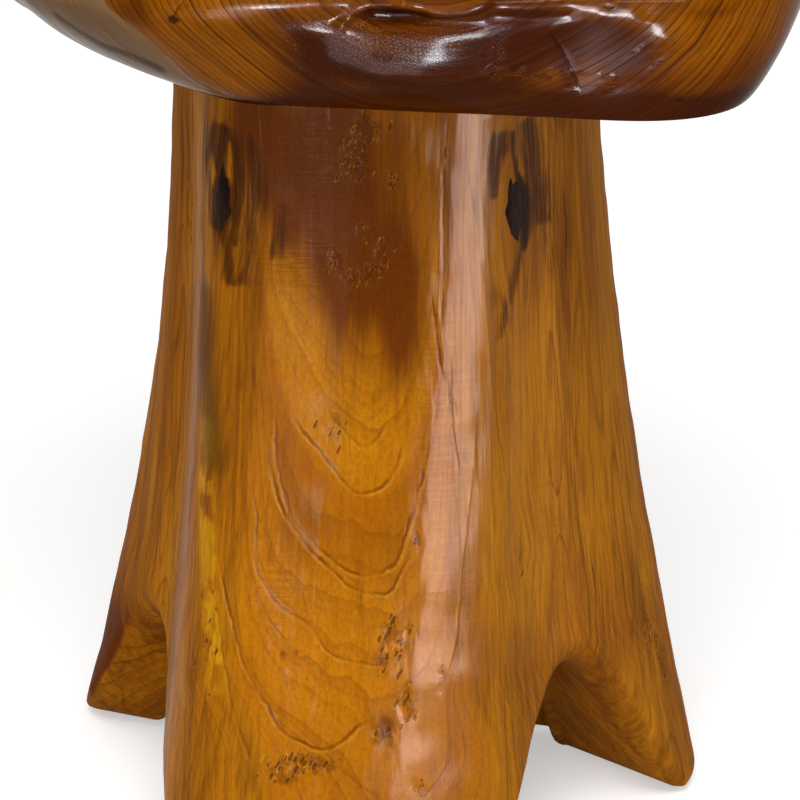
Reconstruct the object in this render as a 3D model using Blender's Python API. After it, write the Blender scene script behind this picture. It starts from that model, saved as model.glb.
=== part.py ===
"""Tree stump stool.

A thick live-edge seat slab is dowelled to a flared stump that stands on four carved root legs.
Two dead knots in the stump are filled flush, and each foot has a glued pad.
Metres, +Z up. The origin is on the floor, under the middle of the seat. The front faces -Y.
"""

import math
from collections import namedtuple

import bmesh
import bpy
from mathutils import Vector

# Overall sizes
STOOL_HEIGHT = 0.450
SEAT_WIDTH = 0.380
SEAT_DEPTH = 0.352
SEAT_THICKNESS = 0.056

# Fits between pieces
SEATING_GAP = 0.0003
CUT_OVERRUN = 0.006

# Stump skin: the neck under the seat, the even skirt, and how far each root leg reaches from the axis
NECK_RADIUS = 0.0955
SKIRT_FLARE = 0.020
SKIRT_POWER = 1.5
LEG_POWER = 1.6
FRONT_LEG_REACH = 0.158
RIGHT_LEG_REACH = 0.148
REAR_LEG_REACH = 0.150
LEFT_LEG_REACH = 0.166

# Carving under the stump: the arches between the legs, the hollow that rises above them, and its soft edges
FRONT_RIGHT_ARCH_HEIGHT = 0.088
REAR_RIGHT_ARCH_HEIGHT = 0.085
REAR_LEFT_ARCH_HEIGHT = 0.075
FRONT_LEFT_ARCH_HEIGHT = 0.090
ARCH_POWER = 3.0
FRONT_LEG_THICKNESS = 0.055
RIGHT_LEG_THICKNESS = 0.064
REAR_LEG_THICKNESS = 0.050
LEFT_LEG_THICKNESS = 0.046
HOLLOW_RISE = 0.055
FOOT_EDGE_ROUND = 0.004
ARCH_EDGE_ROUND = 0.017
HOLLOW_EDGE_ROUND = 0.008
STUMP_RIM_ROUND = 0.003

# Seat edge: its rounded top and its slanting underside, and how much more or less than that the underside
# is cut back at the front left corner, the front right corner and the right side
SEAT_TOP_ROUND = 0.012
SEAT_UNDERCUT = 0.016
LEFT_CORNER_UNDERCUT = 0.044
RIGHT_CORNER_EASE = 0.013
RIGHT_SIDE_UNDERCUT = 0.012
UNDERCUT_POWER = 1.4

# Dowels between the seat and the stump
DOWEL_COUNT = 3
DOWEL_RADIUS = 0.009
DOWEL_CIRCLE_SHARE = 0.55
DOWEL_IN_SEAT_SHARE = 0.57
DOWEL_IN_STUMP = 0.045
DOWEL_CHAMFER = 0.002
DOWEL_FLUTES = 10
DOWEL_FLUTE_DEPTH = 0.0008

# Filled knots in the front of the stump
KNOT_FILL_DEPTH = 0.012
KNOT_RIM_DEPTH = 0.003

# Pads under the feet
PAD_RADIUS = 0.012
PAD_THICKNESS = 0.003
PAD_EDGE_ROUND = 0.0008

# Sizes that follow from those above
SEAT_BOTTOM = STOOL_HEIGHT - SEAT_THICKNESS
STUMP_TOP = SEAT_BOTTOM - SEATING_GAP
FOOT_LEVEL = PAD_THICKNESS + SEATING_GAP
DOWEL_CIRCLE_RADIUS = DOWEL_CIRCLE_SHARE * NECK_RADIUS
DOWEL_IN_SEAT = DOWEL_IN_SEAT_SHARE * SEAT_THICKNESS

# One root leg: its direction, reach and thickness, the angle over which it swells out of the skirt,
# where its foot starts and ends, and the height of the arch that follows it counter-clockwise
Leg = namedtuple("Leg", "name direction reach thickness spread foot_start foot_end arch_height")
LEGS = (
    Leg("front", -104, FRONT_LEG_REACH, FRONT_LEG_THICKNESS, 46, -130, -70, FRONT_RIGHT_ARCH_HEIGHT),
    Leg("right", 2, RIGHT_LEG_REACH, RIGHT_LEG_THICKNESS, 34, -9, 20, REAR_RIGHT_ARCH_HEIGHT),
    Leg("rear", 80, REAR_LEG_REACH, REAR_LEG_THICKNESS, 30, 68, 92, REAR_LEFT_ARCH_HEIGHT),
    Leg("left", 146, LEFT_LEG_REACH, LEFT_LEG_THICKNESS, 30, 128, 157, FRONT_LEFT_ARCH_HEIGHT),
)
ARCH_COLUMNS = 12
FOOT_COLUMN_SPAN = 5
HOLLOW_TOP = FOOT_LEVEL + max(leg.arch_height for leg in LEGS) + HOLLOW_RISE

# The inner side of the right leg is turned away from the front arch, about this direction
FLANK_TURN = 22
FLANK_DIRECTION = -9
FLANK_SPREAD = 34

# One ridge or hollow that runs down the skin: its direction at the neck and at the floor, the angle over
# which it fades, its height, and how much of that height it has at the neck, the waist and the floor
Flute = namedtuple("Flute", "neck floor spread height neck_share waist_share floor_share")
FRONT_RIDGE_HEIGHT = 0.004
FRONT_RIDGE_FACE_HEIGHT = 0.0075
FRONT_HOLLOW_DEPTH = 0.010
LEFT_SHOULDER_HEIGHT = 0.007
LEFT_HOLLOW_DEPTH = 0.006
RIGHT_CORNER_HEIGHT = 0.004
RIGHT_HOLLOW_DEPTH = 0.004
REAR_RIDGE_HEIGHT = 0.007
REAR_HOLLOW_DEPTH = 0.007
SIDE_SWELL_HEIGHT = 0.003
FLUTES = (
    Flute(-70, -92, 9, FRONT_RIDGE_HEIGHT, 0.9, 1.0, 0.5),
    Flute(-58, -79, 14, FRONT_RIDGE_FACE_HEIGHT, 0.9, 1.0, 0.6),
    Flute(-98, -110, 16, -FRONT_HOLLOW_DEPTH, 0.7, 1.0, 0.1),
    Flute(-136, -128, 16, LEFT_SHOULDER_HEIGHT, 0.6, 0.8, 0.8),
    Flute(-156, -152, 13, -LEFT_HOLLOW_DEPTH, 0.0, 1.0, 0.6),
    Flute(-34, -30, 12, RIGHT_CORNER_HEIGHT, 1.0, 0.6, 0.0),
    Flute(-48, -50, 12, -RIGHT_HOLLOW_DEPTH, 0.5, 1.0, 0.5),
    Flute(58, 70, 15, REAR_RIDGE_HEIGHT, 0.5, 1.0, 0.4),
    Flute(100, 112, 16, -REAR_HOLLOW_DEPTH, 0.4, 1.0, 0.5),
    Flute(34, 38, 14, -REAR_HOLLOW_DEPTH, 0.3, 1.0, 0.4),
    Flute(0, 0, 22, SIDE_SWELL_HEIGHT, 0.0, 0.45, 0.9),
    Flute(180, 176, 20, -SIDE_SWELL_HEIGHT, 0.0, 0.55, -1.3),
)

# One filled knot: its direction, how far it is below the seat, half its width and height, and its lean
Knot = namedtuple("Knot", "name direction drop half_width half_height lean_share")
LEFT_KNOT_DROP = 0.071
LEFT_KNOT_HALF_WIDTH = 0.0052
LEFT_KNOT_HALF_HEIGHT = 0.0135
RIGHT_KNOT_DROP = 0.0715
RIGHT_KNOT_HALF_WIDTH = 0.0062
RIGHT_KNOT_HALF_HEIGHT = 0.0155
KNOTS = (
    Knot("left", -133.5, LEFT_KNOT_DROP, LEFT_KNOT_HALF_WIDTH, LEFT_KNOT_HALF_HEIGHT, 0.02),
    Knot("right", -55, RIGHT_KNOT_DROP, RIGHT_KNOT_HALF_WIDTH, RIGHT_KNOT_HALF_HEIGHT, -0.08),
)

# The seat's outline: its radius at even steps from +X, as a share of an ellipse over the half sizes
OUTLINE_SHARES = (
    0.99, 1.01, 1.02, 0.99, 0.98, 1.00, 1.02, 1.01,
    0.98, 1.00, 1.10, 1.09, 1.01, 1.11, 1.245, 1.10,
)

# Where the underside is cut back more or less: the direction, the angle over which it fades, and how much
Undercut = namedtuple("Undercut", "direction spread depth")
UNDERCUTS = (
    Undercut(-140, 27, LEFT_CORNER_UNDERCUT),
    Undercut(-55, 13, -RIGHT_CORNER_EASE),
    Undercut(-31, 10, RIGHT_SIDE_UNDERCUT),
)

# One swelling or dent in the seat's edge: its direction, the angle over which it fades, how far down the
# edge it is and over how much of the edge it fades, both as shares of the thickness, and its height
Lump = namedtuple("Lump", "direction spread down_share fade_share height")
FRONT_LUMP_HEIGHT = 0.010
FRONT_DENT_DEPTH = 0.006
FRONT_GROOVE_DEPTH = 0.004
SIDE_LUMP_HEIGHT = 0.005
LUMPS = (
    Lump(-87, 12, 0.68, 0.30, FRONT_LUMP_HEIGHT),
    Lump(-87, 14, 0.20, 0.08, -FRONT_GROOVE_DEPTH),
    Lump(-66, 8, 0.35, 0.40, -FRONT_DENT_DEPTH),
    Lump(-50, 14, 0.65, 0.45, SIDE_LUMP_HEIGHT),
    Lump(-108, 14, 0.60, 0.40, -SIDE_LUMP_HEIGHT),
    Lump(-160, 14, 0.50, 0.40, -SIDE_LUMP_HEIGHT),
    Lump(20, 16, 0.45, 0.35, SIDE_LUMP_HEIGHT),
    Lump(48, 10, 0.50, 0.45, -SIDE_LUMP_HEIGHT),
    Lump(75, 18, 0.40, 0.40, -FRONT_DENT_DEPTH),
    Lump(118, 14, 0.50, 0.35, SIDE_LUMP_HEIGHT),
    Lump(150, 9, 0.45, 0.45, -SIDE_LUMP_HEIGHT),
)

# Materials: colour, roughness and metallic value
STUMP_FINISH = ((0.33, 0.13, 0.018), 0.22, 0.0)
SEAT_FINISH = ((0.24, 0.075, 0.012), 0.18, 0.0)
FILLER_FINISH = ((0.018, 0.007, 0.003), 0.30, 0.0)
DOWEL_FINISH = ((0.55, 0.38, 0.20), 0.60, 0.0)
PAD_FINISH = ((0.05, 0.04, 0.035), 0.90, 0.0)


# Shape rules

def bump(degrees, spread):
    """A smooth swelling, 1 at its middle, for a direction that is so many degrees away."""
    away = (degrees + 180) % 360 - 180
    return math.exp(-((away / spread) ** 2))


def mix(first, last, share):
    return first + (last - first) * share


def skin_radius(degrees, height):
    """Distance from the stump's axis to its skin, in a direction and at a height above the floor."""
    fall = 1 - (height - FOOT_LEVEL) / (STUMP_TOP - FOOT_LEVEL)
    fall = min(max(fall, 0.0), 1.0)
    radius = NECK_RADIUS + SKIRT_FLARE * fall**SKIRT_POWER
    for leg in LEGS:
        swell = leg.reach - NECK_RADIUS - SKIRT_FLARE
        radius += swell * fall**LEG_POWER * bump(degrees - leg.direction, leg.spread)
    for flute in FLUTES:
        share = (
            flute.neck_share * (1 - fall) * (1 - 2 * fall)
            + flute.waist_share * 4 * fall * (1 - fall)
            + flute.floor_share * fall * (2 * fall - 1)
        )
        direction = mix(flute.neck, flute.floor, fall)
        radius += flute.height * share * bump(degrees - direction, flute.spread)
    return radius


def outline_radius(degrees):
    """Radius of the seat's widest outline before it is fitted to the seat's width and depth."""
    count = len(OUTLINE_SHARES)
    place = (degrees % 360) / 360 * count
    index = int(place)
    part = place - index
    before, start, end, after = (OUTLINE_SHARES[(index + k) % count] for k in (-1, 0, 1, 2))
    share = start + part / 2 * (
        end - before
        + part * (2 * before - 5 * start + 4 * end - after + part * (3 * (start - end) + after - before))
    )
    angle = math.radians(degrees)
    across = SEAT_WIDTH / 2
    along = SEAT_DEPTH / 2
    return share * across * along / math.hypot(along * math.cos(angle), across * math.sin(angle))


def undercut(degrees):
    """How much further in the seat's underside starts than its widest outline."""
    return SEAT_UNDERCUT + sum(part.depth * bump(degrees - part.direction, part.spread) for part in UNDERCUTS)


def turned(degrees):
    """Direction of the inner side of the stump's wall, where the skin is in the given direction."""
    return degrees + FLANK_TURN * bump(degrees - FLANK_DIRECTION, FLANK_SPREAD)


# Mesh helpers

def new_object(name, mesh, finish):
    """Link a smooth-shaded object with its own material."""
    colour, roughness, metallic = finish
    material = bpy.data.materials.new(name)
    material.use_nodes = True
    shader = material.node_tree.nodes["Principled BSDF"]
    shader.inputs["Base Color"].default_value = (*colour, 1)
    shader.inputs["Roughness"].default_value = roughness
    shader.inputs["Metallic"].default_value = metallic
    mesh.materials.append(material)
    mesh.shade_smooth()
    mesh.set_sharp_from_angle(angle=math.radians(40))
    created = bpy.data.objects.new(name, mesh)
    bpy.context.collection.objects.link(created)
    return created


def place(degrees, radius, height):
    angle = math.radians(degrees)
    return Vector((radius * math.cos(angle), radius * math.sin(angle), height))


def loft(name, profiles):
    """A closed mesh from profiles side by side, each running from one shared end point to the other.

    Each point of a profile is a direction, a radius and a height.
    """
    mesh = bmesh.new()
    first = mesh.verts.new(place(*profiles[0][0]))
    last = mesh.verts.new(place(*profiles[0][-1]))
    lines = [[mesh.verts.new(place(*point)) for point in profile[1:-1]] for profile in profiles]
    for here, following in zip(lines, lines[1:] + lines[:1]):
        mesh.faces.new((first, here[0], following[0]))
        for row in range(len(here) - 1):
            mesh.faces.new((here[row], here[row + 1], following[row + 1], following[row]))
        mesh.faces.new((here[-1], last, following[-1]))
    data = bpy.data.meshes.new(name)
    mesh.to_mesh(data)
    mesh.free()
    return data


def cut(target, cutter):
    """Cut one object by another, and keep the cutter out of the model."""
    cutter.hide_render = True
    cutter.display_type = "WIRE"
    boolean = target.modifiers.new("cut_" + cutter.name, "BOOLEAN")
    boolean.operation = "DIFFERENCE"
    boolean.solver = "EXACT"
    boolean.object = cutter


def rod(name, radius, bottom, top, sides=24):
    """A plain closed cylinder about +Z."""
    mesh = bmesh.new()
    bmesh.ops.create_cone(
        mesh, cap_ends=True, segments=sides, radius1=radius, radius2=radius, depth=top - bottom
    )
    bmesh.ops.translate(mesh, verts=mesh.verts, vec=(0, 0, (top + bottom) / 2))
    data = bpy.data.meshes.new(name)
    mesh.to_mesh(data)
    mesh.free()
    return data


# Stump with its root legs

def stump_columns():
    """Direction, lip height, wall thickness and edge softness of each column, round the stump."""
    columns = []
    for leg, following in zip(LEGS, LEGS[1:] + LEGS[:1]):
        steps = round((leg.foot_end - leg.foot_start) / FOOT_COLUMN_SPAN)
        for step in range(steps + 1):
            direction = mix(leg.foot_start, leg.foot_end, step / steps)
            columns.append((direction, FOOT_LEVEL, leg.thickness, 0))
        span = (following.foot_start - leg.foot_end) % 360
        for step in range(1, ARCH_COLUMNS):
            turn = math.pi * step / ARCH_COLUMNS
            share = (1 - math.cos(turn)) / 2
            lip = FOOT_LEVEL + leg.arch_height * math.sin(turn) ** ARCH_POWER
            thickness = mix(leg.thickness, following.thickness, share)
            columns.append((leg.foot_end + span * share, lip, thickness, math.sin(turn)))
    return columns


def stump_profile(degrees, lip, thickness, softness):
    """Profile of the stump in one direction: flat top, skin, soft lower edge, underside, and the hollow."""
    rim = skin_radius(degrees, STUMP_TOP)
    points = [(degrees, radius, STUMP_TOP) for radius in (0, rim / 2, rim - STUMP_RIM_ROUND)]
    outer_round = min(mix(FOOT_EDGE_ROUND, ARCH_EDGE_ROUND, softness), thickness / 2)
    inner_round = min(HOLLOW_EDGE_ROUND, thickness / 4)
    skin_rows = 20
    edge_rows = 3
    for row in range(skin_rows + 1):
        height = mix(STUMP_TOP - STUMP_RIM_ROUND, lip + outer_round, row / skin_rows)
        points.append((degrees, skin_radius(degrees, height), height))
    for row in range(1, edge_rows + 1):
        turn = math.pi / 2 * row / edge_rows
        height = lip + outer_round * (1 - math.sin(turn))
        points.append((degrees, skin_radius(degrees, height) - outer_round * (1 - math.cos(turn)), height))
    inner = skin_radius(degrees, lip) - thickness
    inner_degrees = turned(degrees)
    for row in range(edge_rows):
        turn = math.pi / 2 * row / edge_rows
        radius = inner + inner_round * (1 - math.sin(turn))
        points.append((inner_degrees, radius, lip + inner_round * (1 - math.cos(turn))))
    hollow_rows = 7
    for row in range(hollow_rows):
        turn = math.pi / 2 * row / hollow_rows
        height = mix(lip + inner_round, HOLLOW_TOP, math.sin(turn))
        points.append((inner_degrees, inner * math.cos(turn), height))
    points.append((degrees, 0, HOLLOW_TOP))
    return points


def make_stump():
    mesh = loft("stump_base", [stump_profile(*column) for column in stump_columns()])
    return new_object("stump_base", mesh, STUMP_FINISH)


# Seat slab

def seat_profile(degrees, outer):
    """Profile of the seat in one direction: flat top, rounded rim, slanting edge, and flat underside."""
    shoulder = STOOL_HEIGHT - SEAT_TOP_ROUND
    below = shoulder - SEAT_BOTTOM
    inset = undercut(degrees)
    rim = outer - SEAT_TOP_ROUND
    points = [(0, STOOL_HEIGHT), (rim / 2, STOOL_HEIGHT), (rim * 0.85, STOOL_HEIGHT), (rim, STOOL_HEIGHT)]
    round_rows = 4
    for row in range(1, round_rows + 1):
        turn = math.pi / 2 * row / round_rows
        points.append((rim + SEAT_TOP_ROUND * math.sin(turn), shoulder + SEAT_TOP_ROUND * math.cos(turn)))
    slant_rows = 8
    for row in range(1, slant_rows + 1):
        turn = math.pi / 2 * row / slant_rows
        inward = max(math.cos(turn), 0.0) ** (2 / UNDERCUT_POWER)
        downward = math.sin(turn) ** (2 / UNDERCUT_POWER)
        points.append((outer - inset * (1 - inward), shoulder - below * downward))
    underside = outer - inset
    points += [(underside * 0.8, SEAT_BOTTOM), (underside * 0.4, SEAT_BOTTOM), (0, SEAT_BOTTOM)]
    return [(degrees, radius + lump_height(degrees, height), height) for radius, height in points]


def lump_height(degrees, height):
    """How far the seat's edge swells or dips at a place. The flat top and underside stay as they are."""
    if height > STOOL_HEIGHT - SEATING_GAP or height < SEAT_BOTTOM + SEATING_GAP:
        return 0.0
    down = (STOOL_HEIGHT - height) / SEAT_THICKNESS
    total = 0.0
    for lump in LUMPS:
        fade = math.exp(-(((down - lump.down_share) / lump.fade_share) ** 2))
        total += lump.height * fade * bump(degrees - lump.direction, lump.spread)
    return total


def make_seat():
    count = 72
    columns = [360 * index / count for index in range(count)]
    mesh = loft("seat_slab", [seat_profile(degrees, outline_radius(degrees)) for degrees in columns])
    for axis, size in ((0, SEAT_WIDTH), (1, SEAT_DEPTH)):
        places = [vertex.co[axis] for vertex in mesh.vertices]
        low = min(places)
        high = max(places)
        for vertex in mesh.vertices:
            vertex.co[axis] = (vertex.co[axis] - (low + high) / 2) * size / (high - low)
    return new_object("seat_slab", mesh, SEAT_FINISH)


# Dowels

def fluted_dowel_mesh():
    """A grooved dowel with chamfered ends, standing on its lower end."""
    length = DOWEL_IN_SEAT + DOWEL_IN_STUMP
    sides = 2 * DOWEL_FLUTES
    mesh = bmesh.new()
    rings = []
    shoulder = length - DOWEL_CHAMFER
    for height, shrink in ((0, DOWEL_CHAMFER), (DOWEL_CHAMFER, 0), (shoulder, 0), (length, DOWEL_CHAMFER)):
        ring = []
        for side in range(sides):
            angle = math.tau * side / sides
            radius = DOWEL_RADIUS - shrink - (DOWEL_FLUTE_DEPTH if side % 2 else 0)
            ring.append(mesh.verts.new((radius * math.cos(angle), radius * math.sin(angle), height)))
        rings.append(ring)
    for lower, upper in zip(rings, rings[1:]):
        for side in range(sides):
            after = (side + 1) % sides
            mesh.faces.new((lower[side], lower[after], upper[after], upper[side]))
    mesh.faces.new(rings[0][::-1])
    mesh.faces.new(rings[-1])
    data = bpy.data.meshes.new("dowel")
    mesh.to_mesh(data)
    mesh.free()
    return data


def add_dowels(seat, stump):
    """Dowels on a circle about the stump's axis, each in a blind bore in the seat and in the stump."""
    mesh = fluted_dowel_mesh()
    low = STUMP_TOP - DOWEL_IN_STUMP
    high = low + DOWEL_IN_SEAT + DOWEL_IN_STUMP
    bore_mesh = rod("dowel_bore", DOWEL_RADIUS + SEATING_GAP, low - SEATING_GAP, high + SEATING_GAP)
    for number in range(DOWEL_COUNT):
        angle = math.radians(90 + 360 * number / DOWEL_COUNT)
        place = Vector((math.cos(angle), math.sin(angle), 0)) * DOWEL_CIRCLE_RADIUS
        dowel = new_object(f"dowel_{number + 1}", mesh.copy(), DOWEL_FINISH)
        dowel.location = place + Vector((0, 0, low))
        bore = bpy.data.objects.new(f"dowel_bore_{number + 1}", bore_mesh)
        bpy.context.collection.objects.link(bore)
        bore.location = place
        cut(seat, bore)
        cut(stump, bore)


# Filled knots

def knot_mesh(name, knot, grown, lifted):
    """A bowl-shaped plug that follows the skin, grown sideways and down, and lifted off the skin."""
    sectors = 20
    rings = 4
    middle = STUMP_TOP - knot.drop
    surface = skin_radius(knot.direction, middle)
    profiles = []
    for sector in range(sectors):
        turn = math.tau * sector / sectors
        across = (knot.half_width + grown) * math.cos(turn)
        along = (knot.half_height + grown) * math.sin(turn)
        outer = [(knot.direction, surface + lifted, middle)]
        inner = [(knot.direction, surface - KNOT_FILL_DEPTH - grown, middle)]
        for ring in range(1, rings + 1):
            share = ring / rings
            height = middle + along * share
            sideways = (across + knot.lean_share * along) * share
            degrees = knot.direction + math.degrees(sideways / NECK_RADIUS)
            depth = mix(KNOT_FILL_DEPTH, KNOT_RIM_DEPTH, share**2) + grown
            outer.append((degrees, skin_radius(degrees, height) + lifted, height))
            inner.append((degrees, skin_radius(degrees, height) - depth, height))
        profiles.append(outer + inner[::-1])
    return loft(name, profiles)


def add_knot_fills(stump):
    for knot in KNOTS:
        name = f"{knot.name}_knot_fill"
        new_object(name, knot_mesh(name, knot, 0, 0), FILLER_FINISH)
        pocket_name = f"{knot.name}_knot_pocket"
        pocket = bpy.data.objects.new(pocket_name, knot_mesh(pocket_name, knot, SEATING_GAP, CUT_OVERRUN))
        bpy.context.collection.objects.link(pocket)
        cut(stump, pocket)


# Foot pads

def add_foot_pads():
    """A round pad under each foot, midway between the foot's outer and inner edge."""
    mesh = rod("foot_pad", PAD_RADIUS, 0, PAD_THICKNESS)
    for leg in LEGS:
        degrees = (leg.foot_start + leg.foot_end) / 2
        reach = skin_radius(degrees, FOOT_LEVEL)
        pad = new_object(f"{leg.name}_foot_pad", mesh.copy(), PAD_FINISH)
        pad.location = (place(degrees, reach, 0) + place(turned(degrees), reach - leg.thickness, 0)) / 2
        soften = pad.modifiers.new("soft_edge", "BEVEL")
        soften.width = PAD_EDGE_ROUND
        soften.segments = 2
        soften.limit_method = "ANGLE"


def build():
    for leftover in list(bpy.data.objects):
        bpy.data.objects.remove(leftover)
    seat = make_seat()
    stump = make_stump()
    add_dowels(seat, stump)
    add_knot_fills(stump)
    add_foot_pads()


build()
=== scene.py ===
"""Tree stump stool, dressed: varnished live-edge seat slab on a carved stump with four root legs."""

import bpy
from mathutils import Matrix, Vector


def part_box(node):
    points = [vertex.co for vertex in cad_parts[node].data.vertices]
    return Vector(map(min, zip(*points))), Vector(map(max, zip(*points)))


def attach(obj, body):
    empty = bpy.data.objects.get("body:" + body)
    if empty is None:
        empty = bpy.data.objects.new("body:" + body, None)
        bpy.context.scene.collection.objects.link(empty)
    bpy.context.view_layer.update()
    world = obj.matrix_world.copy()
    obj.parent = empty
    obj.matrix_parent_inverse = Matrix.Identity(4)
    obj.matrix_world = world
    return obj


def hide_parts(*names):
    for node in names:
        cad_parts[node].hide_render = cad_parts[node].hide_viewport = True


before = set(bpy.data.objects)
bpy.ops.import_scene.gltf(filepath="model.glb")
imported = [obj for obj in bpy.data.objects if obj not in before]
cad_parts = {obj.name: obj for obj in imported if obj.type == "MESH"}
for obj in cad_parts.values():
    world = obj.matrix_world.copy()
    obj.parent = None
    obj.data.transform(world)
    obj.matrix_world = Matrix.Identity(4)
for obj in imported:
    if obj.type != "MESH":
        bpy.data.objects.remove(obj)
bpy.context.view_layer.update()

import math

import bpy
import numpy as np
from mathutils import Vector

# --- Stump --------------------------------------------------------------------------------------------
# One log, debarked and carved by hand: a flared stump that stands on four root legs with arches between
# them and a hollow beneath. Oily golden-brown hardwood, sanded, with gouge marks and torn grain left in
# places, and a thick clear varnish over all of it.

stump_low, stump_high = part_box("stump_base")
seat_low, seat_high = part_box("seat_slab")
foot_level = stump_low.z
stump_top = stump_high.z

NECK_RADIUS = 0.0955
SKIRT_FLARE = 0.02
SKIRT_POWER = 1.5
LEG_POWER = 1.6
ARCH_POWER = 3.0
HOLLOW_RISE = 0.055
FOOT_EDGE_ROUND = 0.004
ARCH_EDGE_ROUND = 0.017
HOLLOW_EDGE_ROUND = 0.008
STUMP_RIM_ROUND = 0.003

# direction, reach, wall thickness, spread, foot start, foot end, height of the arch that follows, and how
# many columns of faces the foot and that arch get
LEGS = (
    (-104, 0.158, 0.055, 46, -130, -70, 0.088, 120, 92),
    (2, 0.148, 0.064, 34, -9, 20, 0.085, 16, 24),
    (80, 0.15, 0.05, 30, 68, 92, 0.075, 12, 20),
    (146, 0.166, 0.046, 30, 128, 157, 0.09, 14, 78),
)
HOLLOW_TOP = foot_level + max(leg[6] for leg in LEGS) + HOLLOW_RISE
FLANK_TURN = 22
FLANK_DIRECTION = -9
FLANK_SPREAD = 34

# direction at the neck and at the floor, spread, height, and its share at the neck, waist and floor
FLUTES = (
    (-70, -92, 9, 0.004, 0.9, 1.0, 0.5),
    (-58, -79, 14, 0.0075, 0.9, 1.0, 0.6),
    (-98, -110, 16, -0.01, 0.7, 1.0, 0.1),
    (-136, -128, 16, 0.007, 0.6, 0.8, 0.8),
    (-156, -152, 13, -0.006, 0.0, 1.0, 0.6),
    (-34, -30, 12, 0.004, 1.0, 0.6, 0.0),
    (-48, -50, 12, -0.004, 0.5, 1.0, 0.5),
    (58, 70, 15, 0.007, 0.5, 1.0, 0.4),
    (100, 112, 16, -0.007, 0.4, 1.0, 0.5),
    (34, 38, 14, -0.007, 0.3, 1.0, 0.4),
    (0, 0, 22, 0.003, 0.0, 0.45, 0.9),
    (180, 176, 20, -0.003, 0.0, 0.55, -1.3),
)


def bell(away, spread):
    """A smooth swelling: 1 where away is 0, fading over the spread."""
    return np.exp(-np.square(away / spread))


def turn_from(degrees, middle):
    """Angle from one direction to another, the short way round."""
    return (degrees - middle + 180) % 360 - 180


def ease(low, high, value):
    """0 at low and 1 at high, with a smooth change between them."""
    share = np.clip((value - low) / (high - low), 0, 1)
    return share * share * (3 - 2 * share)


def fall_at(height):
    """How far down the stump: 0 at its top, 1 at its feet."""
    return np.clip(1 - (height - foot_level) / (stump_top - foot_level), 0, 1)


def plain_radius(degrees, height):
    """The log's own flare, before the ridges and hollows are carved."""
    fall = fall_at(height)
    radius = NECK_RADIUS + SKIRT_FLARE * fall**SKIRT_POWER
    for direction, reach, thickness, spread, *rest in LEGS:
        swell = reach - NECK_RADIUS - SKIRT_FLARE
        radius = radius + swell * fall**LEG_POWER * bell(turn_from(degrees, direction), spread)
    return radius


def skin_radius(degrees, height):
    """The carved skin: the log's flare with its ridges and hollows."""
    fall = fall_at(height)
    radius = plain_radius(degrees, height)
    for neck, floor, spread, swell, neck_share, waist_share, floor_share in FLUTES:
        share = neck_share * (1 - fall) * (1 - 2 * fall) + waist_share * 4 * fall * (1 - fall)
        share = share + floor_share * fall * (2 * fall - 1)
        radius = radius + swell * share * bell(turn_from(degrees, neck + (floor - neck) * fall), spread)
    return radius


def stump_columns():
    """Direction, lip height, wall thickness and edge softness of each column, round the stump."""
    columns = []
    for leg, after in zip(LEGS, LEGS[1:] + LEGS[:1]):
        foot_start, foot_end, arch_height, foot_steps, arch_steps = leg[4:]
        for step in range(foot_steps + 1):
            share = step / foot_steps
            columns.append((foot_start + (foot_end - foot_start) * share, foot_level, leg[2], 0))
        span = (after[4] - foot_end) % 360
        for step in range(1, arch_steps):
            turn = math.pi * step / arch_steps
            share = (1 - math.cos(turn)) / 2
            lip = foot_level + arch_height * math.sin(turn) ** ARCH_POWER
            columns.append((foot_end + span * share, lip, leg[2] + (after[2] - leg[2]) * share, math.sin(turn)))
    return np.array(columns)


def closed_skin(name, grid, first, last):
    """A closed mesh from a grid of points, column by column, between two end points."""
    count, rows = grid.shape[:2]
    points = np.concatenate([grid.reshape(-1, 3), [first, last]])
    index = np.arange(count * rows).reshape(count, rows)
    after = np.roll(index, -1, axis=0)
    quads = np.stack([index[:, :-1], index[:, 1:], after[:, 1:], after[:, :-1]], axis=-1).reshape(-1, 4)
    top = np.stack([np.full(count, count * rows), index[:, 0], after[:, 0]], axis=-1)
    bottom = np.stack([index[:, -1], np.full(count, count * rows + 1), after[:, -1]], axis=-1)
    mesh = bpy.data.meshes.new(name)
    mesh.from_pydata(points.tolist(), [], quads.tolist() + top.tolist() + bottom.tolist())
    mesh.shade_smooth()
    piece = bpy.data.objects.new(name, mesh)
    bpy.context.collection.objects.link(piece)
    return piece


def around(degrees, radius, height):
    """Points from directions, distances from the middle, and heights."""
    angle = np.radians(degrees)
    return np.stack([radius * np.cos(angle), radius * np.sin(angle), height + 0 * radius], axis=-1)


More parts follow.
